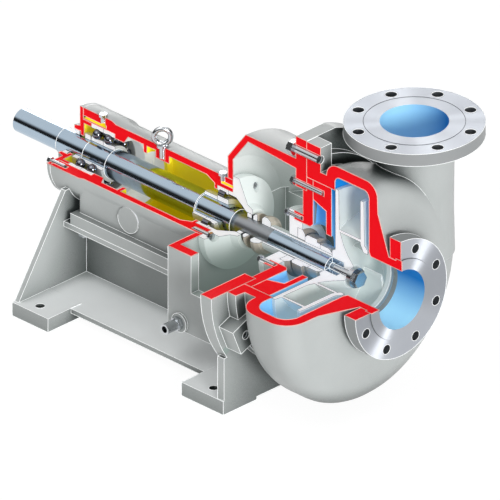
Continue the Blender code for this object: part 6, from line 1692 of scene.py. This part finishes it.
def build_shaft_seal():
    """The mechanical seal: sleeve and rotary parts on the shaft, stationary ring in the gland."""
    on_shaft = FRONT_RADIUS + FIT
    on_sleeve = SLEEVE_RADIUS + FIT
    flinger = turned("water_flinger", [
        (X_FLINGER, on_shaft), (X_FLINGER, FLINGER_RADIUS - RING_STEP),
        (X_FLINGER + RING_STEP, FLINGER_RADIUS),
        (X_FLINGER + FLINGER_LENGTH, FLINGER_RADIUS), (X_FLINGER + FLINGER_LENGTH, on_shaft),
    ], SIDES_SMALL)
    piece("water_flinger", flinger, SEAL_BRONZE, opened=True)
    x0 = X_DRIVE_COLLAR
    x1 = x0 + DRIVE_COLLAR_LENGTH
    collar = turned("seal_drive_collar", [
        (x0, on_shaft), (x0, DRIVE_COLLAR_RADIUS - RING_STEP), (x0 + RING_STEP, DRIVE_COLLAR_RADIUS),
        (x1 - RING_END, DRIVE_COLLAR_RADIUS), (x1, DRIVE_COLLAR_RADIUS - RING_STEP), (x1, on_shaft),
    ], SIDES_SMALL)
    piece("seal_drive_collar", collar, SEAL_BRONZE, opened=True)
    sleeve = ring("seal_sleeve", X_SLEEVE, X_SLEEVE_END, on_shaft, SLEEVE_RADIUS, SIDES_SMALL)
    piece("seal_sleeve", sleeve, WHITE_IRON, opened=True)
    x0 = X_STATIONARY
    x1 = x0 + STATIONARY_RING_LENGTH
    stationary = turned("seal_stationary_ring", [
        (x0, GLAND_BORE), (x0, GLAND_SEAT_RADIUS), (x1 - RING_STEP, GLAND_SEAT_RADIUS),
        (x1, GLAND_SEAT_RADIUS - RING_END), (x1, GLAND_BORE),
    ], SIDES_LARGE)
    piece("seal_stationary_ring", stationary, CERAMIC, opened=True)
    x0 = x1 + FIT
    x1 = x0 + ROTARY_RING_LENGTH
    outer = ROTARY_RING_RADIUS
    rotary = turned("seal_rotary_ring", [
        (x0, on_sleeve), (x0, outer - RING_STEP), (x0 + RING_STEP, outer), (x1 - RING_END, outer),
        (x1 - RING_END, outer - RING_STEP), (x1, outer - RING_STEP), (x1, on_sleeve),
    ], SIDES_SMALL)
    piece("seal_rotary_ring", rotary, CERAMIC, opened=True)
    x0 = x1 + FIT
    retainer = turned("seal_retainer", [
        (x0, on_sleeve), (x0, RETAINER_RADIUS), (X_SLEEVE_END - RING_END, RETAINER_RADIUS),
        (X_SLEEVE_END, RETAINER_RADIUS - RING_STEP), (X_SLEEVE_END, on_sleeve),
    ], SIDES_SMALL)
    piece("seal_retainer", retainer, SEAL_BRONZE, opened=True)


def spiral_point(radius, lead):
    """A point of a backward-curved vane, as an equiangular spiral."""
    span = math.log((IMPELLER_RADIUS - VANE_END_GAP) / VANE_START_RADIUS)
    turn = lead - VANE_WRAP * math.log(radius / VANE_START_RADIUS) / span
    return radius * math.cos(turn), radius * math.sin(turn)


def vane_outline(lead, steps=24):
    end = IMPELLER_RADIUS - VANE_END_GAP
    radii = [VANE_START_RADIUS * (end / VANE_START_RADIUS) ** (step / steps) for step in range(steps + 1)]
    half = VANE_THICKNESS / 2
    pressure_side = [spiral_point(radius, lead + half / radius) for radius in radii]
    suction_side = [spiral_point(radius, lead - half / radius) for radius in reversed(radii)]
    return pressure_side + suction_side


def build_impeller():
    """Closed impeller: back shroud with hub, curved vanes, front shroud with eye, pump-out vanes."""
    x0 = X_IMPELLER
    x1 = x0 + BACK_SHROUD
    x2 = x1 + PASSAGE_WIDTH
    x3 = x2 + FRONT_SHROUD
    x_eye = x3 + EYE_RING_LENGTH
    radius = IMPELLER_RADIUS
    body = turned("impeller", [
        (x0 - HUB_BACK, 0), (x0 - HUB_BACK, HUB_RADIUS), (x0, HUB_RADIUS + OVERCUT), (x0, radius),
        (x1, radius), *[(x1 + reach * MM, flare * MM) for reach, flare in HUB_FLARE],
        (X_NOSE, NOSE_RADIUS), (X_NOSE, 0),
    ], SIDES_LARGE)
    front = turned("front_shroud", [
        (x2, radius), (x3, radius), (x3 + 2 * MM, EYE_RADIUS + 2 * EYE_RING_WALL),
        (x_eye, EYE_RADIUS + EYE_RING_WALL), (x_eye, EYE_RADIUS), (x2 + FRONT_SHROUD, EYE_RADIUS),
        (x2, EYE_RADIUS + 2 * EYE_RING_WALL),
    ], SIDES_LARGE)
    to_middle = Matrix.Translation(((x1 + x2) / 2, 0, 0)) @ ACROSS
    vanes = [
        plate(f"vane_{number}", vane_outline(VANE_LEAD + 2 * math.pi * number / VANES),
              PASSAGE_WIDTH + BACK_SHROUD, to_middle)
        for number in range(VANES)
    ]
    ribs = []
    for number in range(PUMP_OUT_VANES):
        turn = Matrix.Rotation(2 * math.pi * (number + 0.35) / PUMP_OUT_VANES, 4, "X")
        sides = (("back", (x0 - PUMP_OUT_HEIGHT, x0 + LAP)),
                 ("front", (x3 - LAP, x3 + PUMP_OUT_HEIGHT)))
        for side, xs in sides:
            rib = block(f"{side}_rib_{number}", xs, (-PUMP_OUT_WIDTH / 2, PUMP_OUT_WIDTH / 2),
                        (PUMP_OUT_START, PUMP_OUT_END))
            rib.data.transform(turn)
            ribs.append(rib)
    bore = core("hub_bore", x0 - HUB_BACK - OVERCUT, X_SHAFT_END + FIT, FRONT_RADIUS + FIT, SIDES_SMALL)
    bolt_hole = rod("impeller_bolt_hole", (X_SHAFT_END - OVERCUT, 0, 0), (1, 0, 0),
                    NOSE_WALL + 2 * OVERCUT, IMPELLER_BOLT_RADIUS + FIT)
    piece("impeller", body, WHITE_IRON, (ADD, front, *vanes, *ribs), (CUT, bore, bolt_hole), opened=True)
    seat = X_NOSE + FIT
    half_head = IMPELLER_BOLT_HEAD_LENGTH / 2
    head = rod("head", (seat, 0, 0), (1, 0, 0), half_head, IMPELLER_BOLT_HEAD, SIDES_SMALL)
    hexagon = rod("hexagon", (seat + half_head - SLACK, 0, 0), (1, 0, 0), half_head + SLACK,
                  0.8 * IMPELLER_BOLT_HEAD, 6)
    shank_start = X_SHAFT_END - IMPELLER_THREAD_DEPTH + 3 * MM
    shank = rod("impeller_shank", (shank_start, 0, 0), (1, 0, 0), seat + half_head / 2 - shank_start,
                IMPELLER_BOLT_RADIUS)
    piece("impeller_bolt", head, ZINC, (ADD, hexagon, shank))


def build_eye_bolt():
    """Lifting eye, turned 45 degrees, with its collar on the housing."""
    bpy.ops.mesh.primitive_torus_add(major_segments=48, minor_segments=20, major_radius=EYE_RING_RADIUS,
                                     minor_radius=EYE_WIRE_RADIUS)
    eye = bpy.context.object
    for collection in list(eye.users_collection):
        collection.objects.unlink(eye)
    facing = Matrix.Rotation(math.pi / 4, 4, "Z") @ Matrix.Rotation(math.pi / 2, 4, "X")
    eye.data.transform(Matrix.Translation((X_EYE_BOLT, 0, EYE_HEIGHT)) @ facing)
    collar = rod("eye_collar", (X_EYE_BOLT, 0, HOUSING_RADIUS + FIT), (0, 0, 1), EYE_WIRE_RADIUS,
                 EYE_COLLAR_RADIUS)
    shank_low = HOUSING_RADIUS - EYE_SHANK_DEPTH
    shank = rod("eye_shank", (X_EYE_BOLT, 0, shank_low), (0, 0, 1), EYE_HEIGHT - EYE_RING_RADIUS - shank_low,
                EYE_SHANK_RADIUS)
    piece("eye_bolt", eye, ZINC, (ADD, collar, shank))


def build_fittings():
    """Casing bolts, foot bolts, lifting eye, plugs and drain nipple."""
    bolts("casing_bolt", X_LANTERN_FLANGE, -1, CASING_BOLT_CIRCLE, CASING_BOLT_RADIUS,
          FLANGE_THICKNESS + LUG_LENGTH - LAP, LUG_ANGLES)
    for name, x, y in foot_bolt_places():
        head_length = HEAD_LENGTH * FOOT_BOLT_RADIUS
        head = rod(name, (x, y, Z_DECK_LOW - FIT), (0, 0, -1), head_length, HEAD_RADIUS * FOOT_BOLT_RADIUS, 6)
        shank = rod(f"{name}_shank", (x, y, Z_DECK_LOW - head_length / 2), (0, 0, 1), FOOT_BOLT_GRIP,
                    FOOT_BOLT_RADIUS)
        piece(name, head, ZINC, (ADD, shank))
    build_eye_bolt()
    for name, x, seat in plug_places():
        head = rod(name, (x, 0, seat + FIT), (0, 0, 1), PLUG_HEAD_HEIGHT, PLUG_HEAD_RADIUS, 6)
        shank = rod(f"{name}_shank", (x, 0, seat - PLUG_DEPTH), (0, 0, 1), PLUG_DEPTH + PLUG_HEAD_HEIGHT / 2,
                    PLUG_RADIUS)
        piece(name, head, ZINC, (ADD, shank))
    boss_face = -BOX_HALF_WIDTH - NIPPLE_BOSS_HEIGHT
    y_end = boss_face - NIPPLE_REACH
    tube = rod("drain_nipple", (X_DRAIN, y_end, -DRAIN_DEPTH), (0, 1, 0), NIPPLE_REACH + NIPPLE_DEPTH,
               NIPPLE_RADIUS)
    hexagon = rod("nipple_hexagon", (X_DRAIN, boss_face - NIPPLE_RADIUS, -DRAIN_DEPTH), (0, 1, 0),
                  NIPPLE_RADIUS - FIT, 1.3 * NIPPLE_RADIUS, 6)
    bore = rod("nipple_bore", (X_DRAIN, y_end - OVERCUT, -DRAIN_DEPTH), (0, 1, 0),
               NIPPLE_REACH + NIPPLE_DEPTH + 2 * OVERCUT, NIPPLE_BORE)
    piece("drain_nipple", tube, ZINC, (ADD, hexagon), (CUT, bore))


def draw_arrises():
    """Fine bright lines along the edges of the cut faces, painted highlight lines along sharp outer edges and
    painted shadow lines round the flange seams, one mesh for each body and colour.
    """
    names = {LINE_PINK: "red_section_arris", LINE_GREY: "ground_section_arris", LINE_LIGHT: "rubbed_arris",
             LINE_DARK: "flange_seam"}
    radii = {LINE_PINK: 0.8 * MM, LINE_GREY: 0.4 * MM, LINE_LIGHT: 0.55 * MM, LINE_DARK: 0.6 * MM}
    for (body, line), edges in arrises.items():
        shape = bmesh.new()
        for start, end in edges:
            shape.edges.new((shape.verts.new(start), shape.verts.new(end)))
        bmesh.ops.remove_doubles(shape, verts=shape.verts, dist=PLANE_SLACK)
        pattern = bpy.data.meshes.new("arris")
        shape.to_mesh(pattern)
        shape.free()
        mesh = grown(pattern, BEAD, bead_radius=radii[line], finish=line)
        mesh.shade_smooth()
        obj = bpy.data.objects.new(f"{names[line]}_{body}", mesh)
        bpy.context.scene.collection.objects.link(obj)
        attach(obj, body)


def lamp(name, direction, strength, angle):
    """A broad sun that shines along a direction."""
    light = bpy.data.lights.new(name, "SUN")
    light.energy = strength
    light.angle = math.radians(angle)
    obj = bpy.data.objects.new(name, light)
    obj.rotation_euler = Vector(direction).to_track_quat("-Z", "Y").to_euler()
    bpy.context.scene.collection.objects.link(obj)


def build_studio():
    """White floor that keeps a faint shadow, white surroundings, three soft suns and the camera."""
    scene = bpy.context.scene
    scene.view_settings.view_transform = "Standard"
    floor_mesh = bpy.data.meshes.new("floor")
    reach = FLOOR_REACH
    corners = [(-reach, -reach), (reach, -reach), (reach, reach), (-reach, reach)]
    floor_mesh.from_pydata([(x, y, Z_FLOOR - FLOOR_GAP) for x, y in corners], [], [(0, 1, 2, 3)])
    floor = bpy.data.objects.new("floor", floor_mesh)
    scene.collection.objects.link(floor)
    material = bpy.data.materials.new("white_floor")
    material.use_nodes = True
    tree = material.node_tree
    glow = add(tree, "ShaderNodeEmission", {"Color": srgb("#FFFFFF"), "Strength": FLOOR_GLOW})
    matt = add(tree, "ShaderNodeBsdfDiffuse", {"Color": srgb("#F6F6F6")}).outputs["BSDF"]
    rays = add(tree, "ShaderNodeLightPath").outputs
    seen = add(tree, "ShaderNodeMath", {0: rays["Is Camera Ray"], 1: rays["Is Glossy Ray"]},
               operation="MAXIMUM")
    share = add(tree, "ShaderNodeMath", {0: seen.outputs["Value"], 1: FLOOR_GLOW_SHARE}, operation="MULTIPLY")
    mixed = add(tree, "ShaderNodeMixShader", {0: share.outputs["Value"], 1: matt,
                                                2: glow.outputs["Emission"]}).outputs["Shader"]
    tree.links.new(mixed, tree.nodes["Material Output"].inputs["Surface"])
    floor_mesh.materials.append(material)

    world = bpy.data.worlds.new("studio")
    scene.world = world
    world.use_nodes = True
    tree = world.node_tree
    background = tree.nodes["Background"]
    background.inputs["Color"].default_value = srgb("#FFFFFF")
    # Metal mirrors a pale ceiling over dim walls, which gives round steel its light and dark sides
    direction = add(tree, "ShaderNodeTexCoord").outputs["Generated"]
    height = add(tree, "ShaderNodeSeparateXYZ", {"Vector": direction}).outputs["Z"]
    mirrored = add(tree, "ShaderNodeMapRange", {
        "Value": height, "From Min": WALL_TOP, "From Max": CEILING_START, "To Min": WALL_LEVEL,
        "To Max": CEILING_LEVEL}, interpolation_type="SMOOTHSTEP").outputs["Result"]
    rays = add(tree, "ShaderNodeLightPath").outputs
    unseen = add(tree, "ShaderNodeMix", {"Factor": rays["Is Glossy Ray"], 2: DIFFUSE_LEVEL,
                                         3: mirrored}).outputs[0]
    level = add(tree, "ShaderNodeMix", {"Factor": rays["Is Camera Ray"], 2: unseen, 3: 1.0}).outputs[0]
    tree.links.new(level, background.inputs["Strength"])
    lamp("key", (-1.65, 0.7, -0.4), 2.25, 20)
    lamp("fill", (0.1, 0.35, -0.75), 0.7, 40)
    lamp("back", (0.7, -0.8, -0.25), 1.0, 30)

    camera = bpy.data.objects.new("camera", bpy.data.cameras.new("camera"))
    scene.collection.objects.link(camera)
    view = Vector((-0.6232, 0.6232, -0.4726)).normalized()
    camera.location = Vector((0.5766, 0, -0.0451)) - VIEW_DISTANCE * view
    camera.rotation_euler = view.to_track_quat("-Z", "Y").to_euler()
    camera.data.type = "ORTHO"
    camera.data.ortho_scale = VIEW_WIDTH
    camera.data.clip_end = 20
    scene.camera = camera


QUARTER = block("cutaway_quarter", (-50 * MM, X_SUCTION + 50 * MM), (-400 * MM, 0), (0, 400 * MM))
CUTTERS.objects.link(QUARTER)
QUARTER.hide_render = True
build_shaft()
build_bearings()
build_bearing_housing()
build_bearing_covers()
build_pedestal_frame()
build_volute_casing()
build_pipe_flanges()
build_seal_housing()
build_gland()
build_shaft_seal()
build_impeller()
build_fittings()
draw_arrises()
bpy.data.objects.remove(QUARTER)
build_studio()
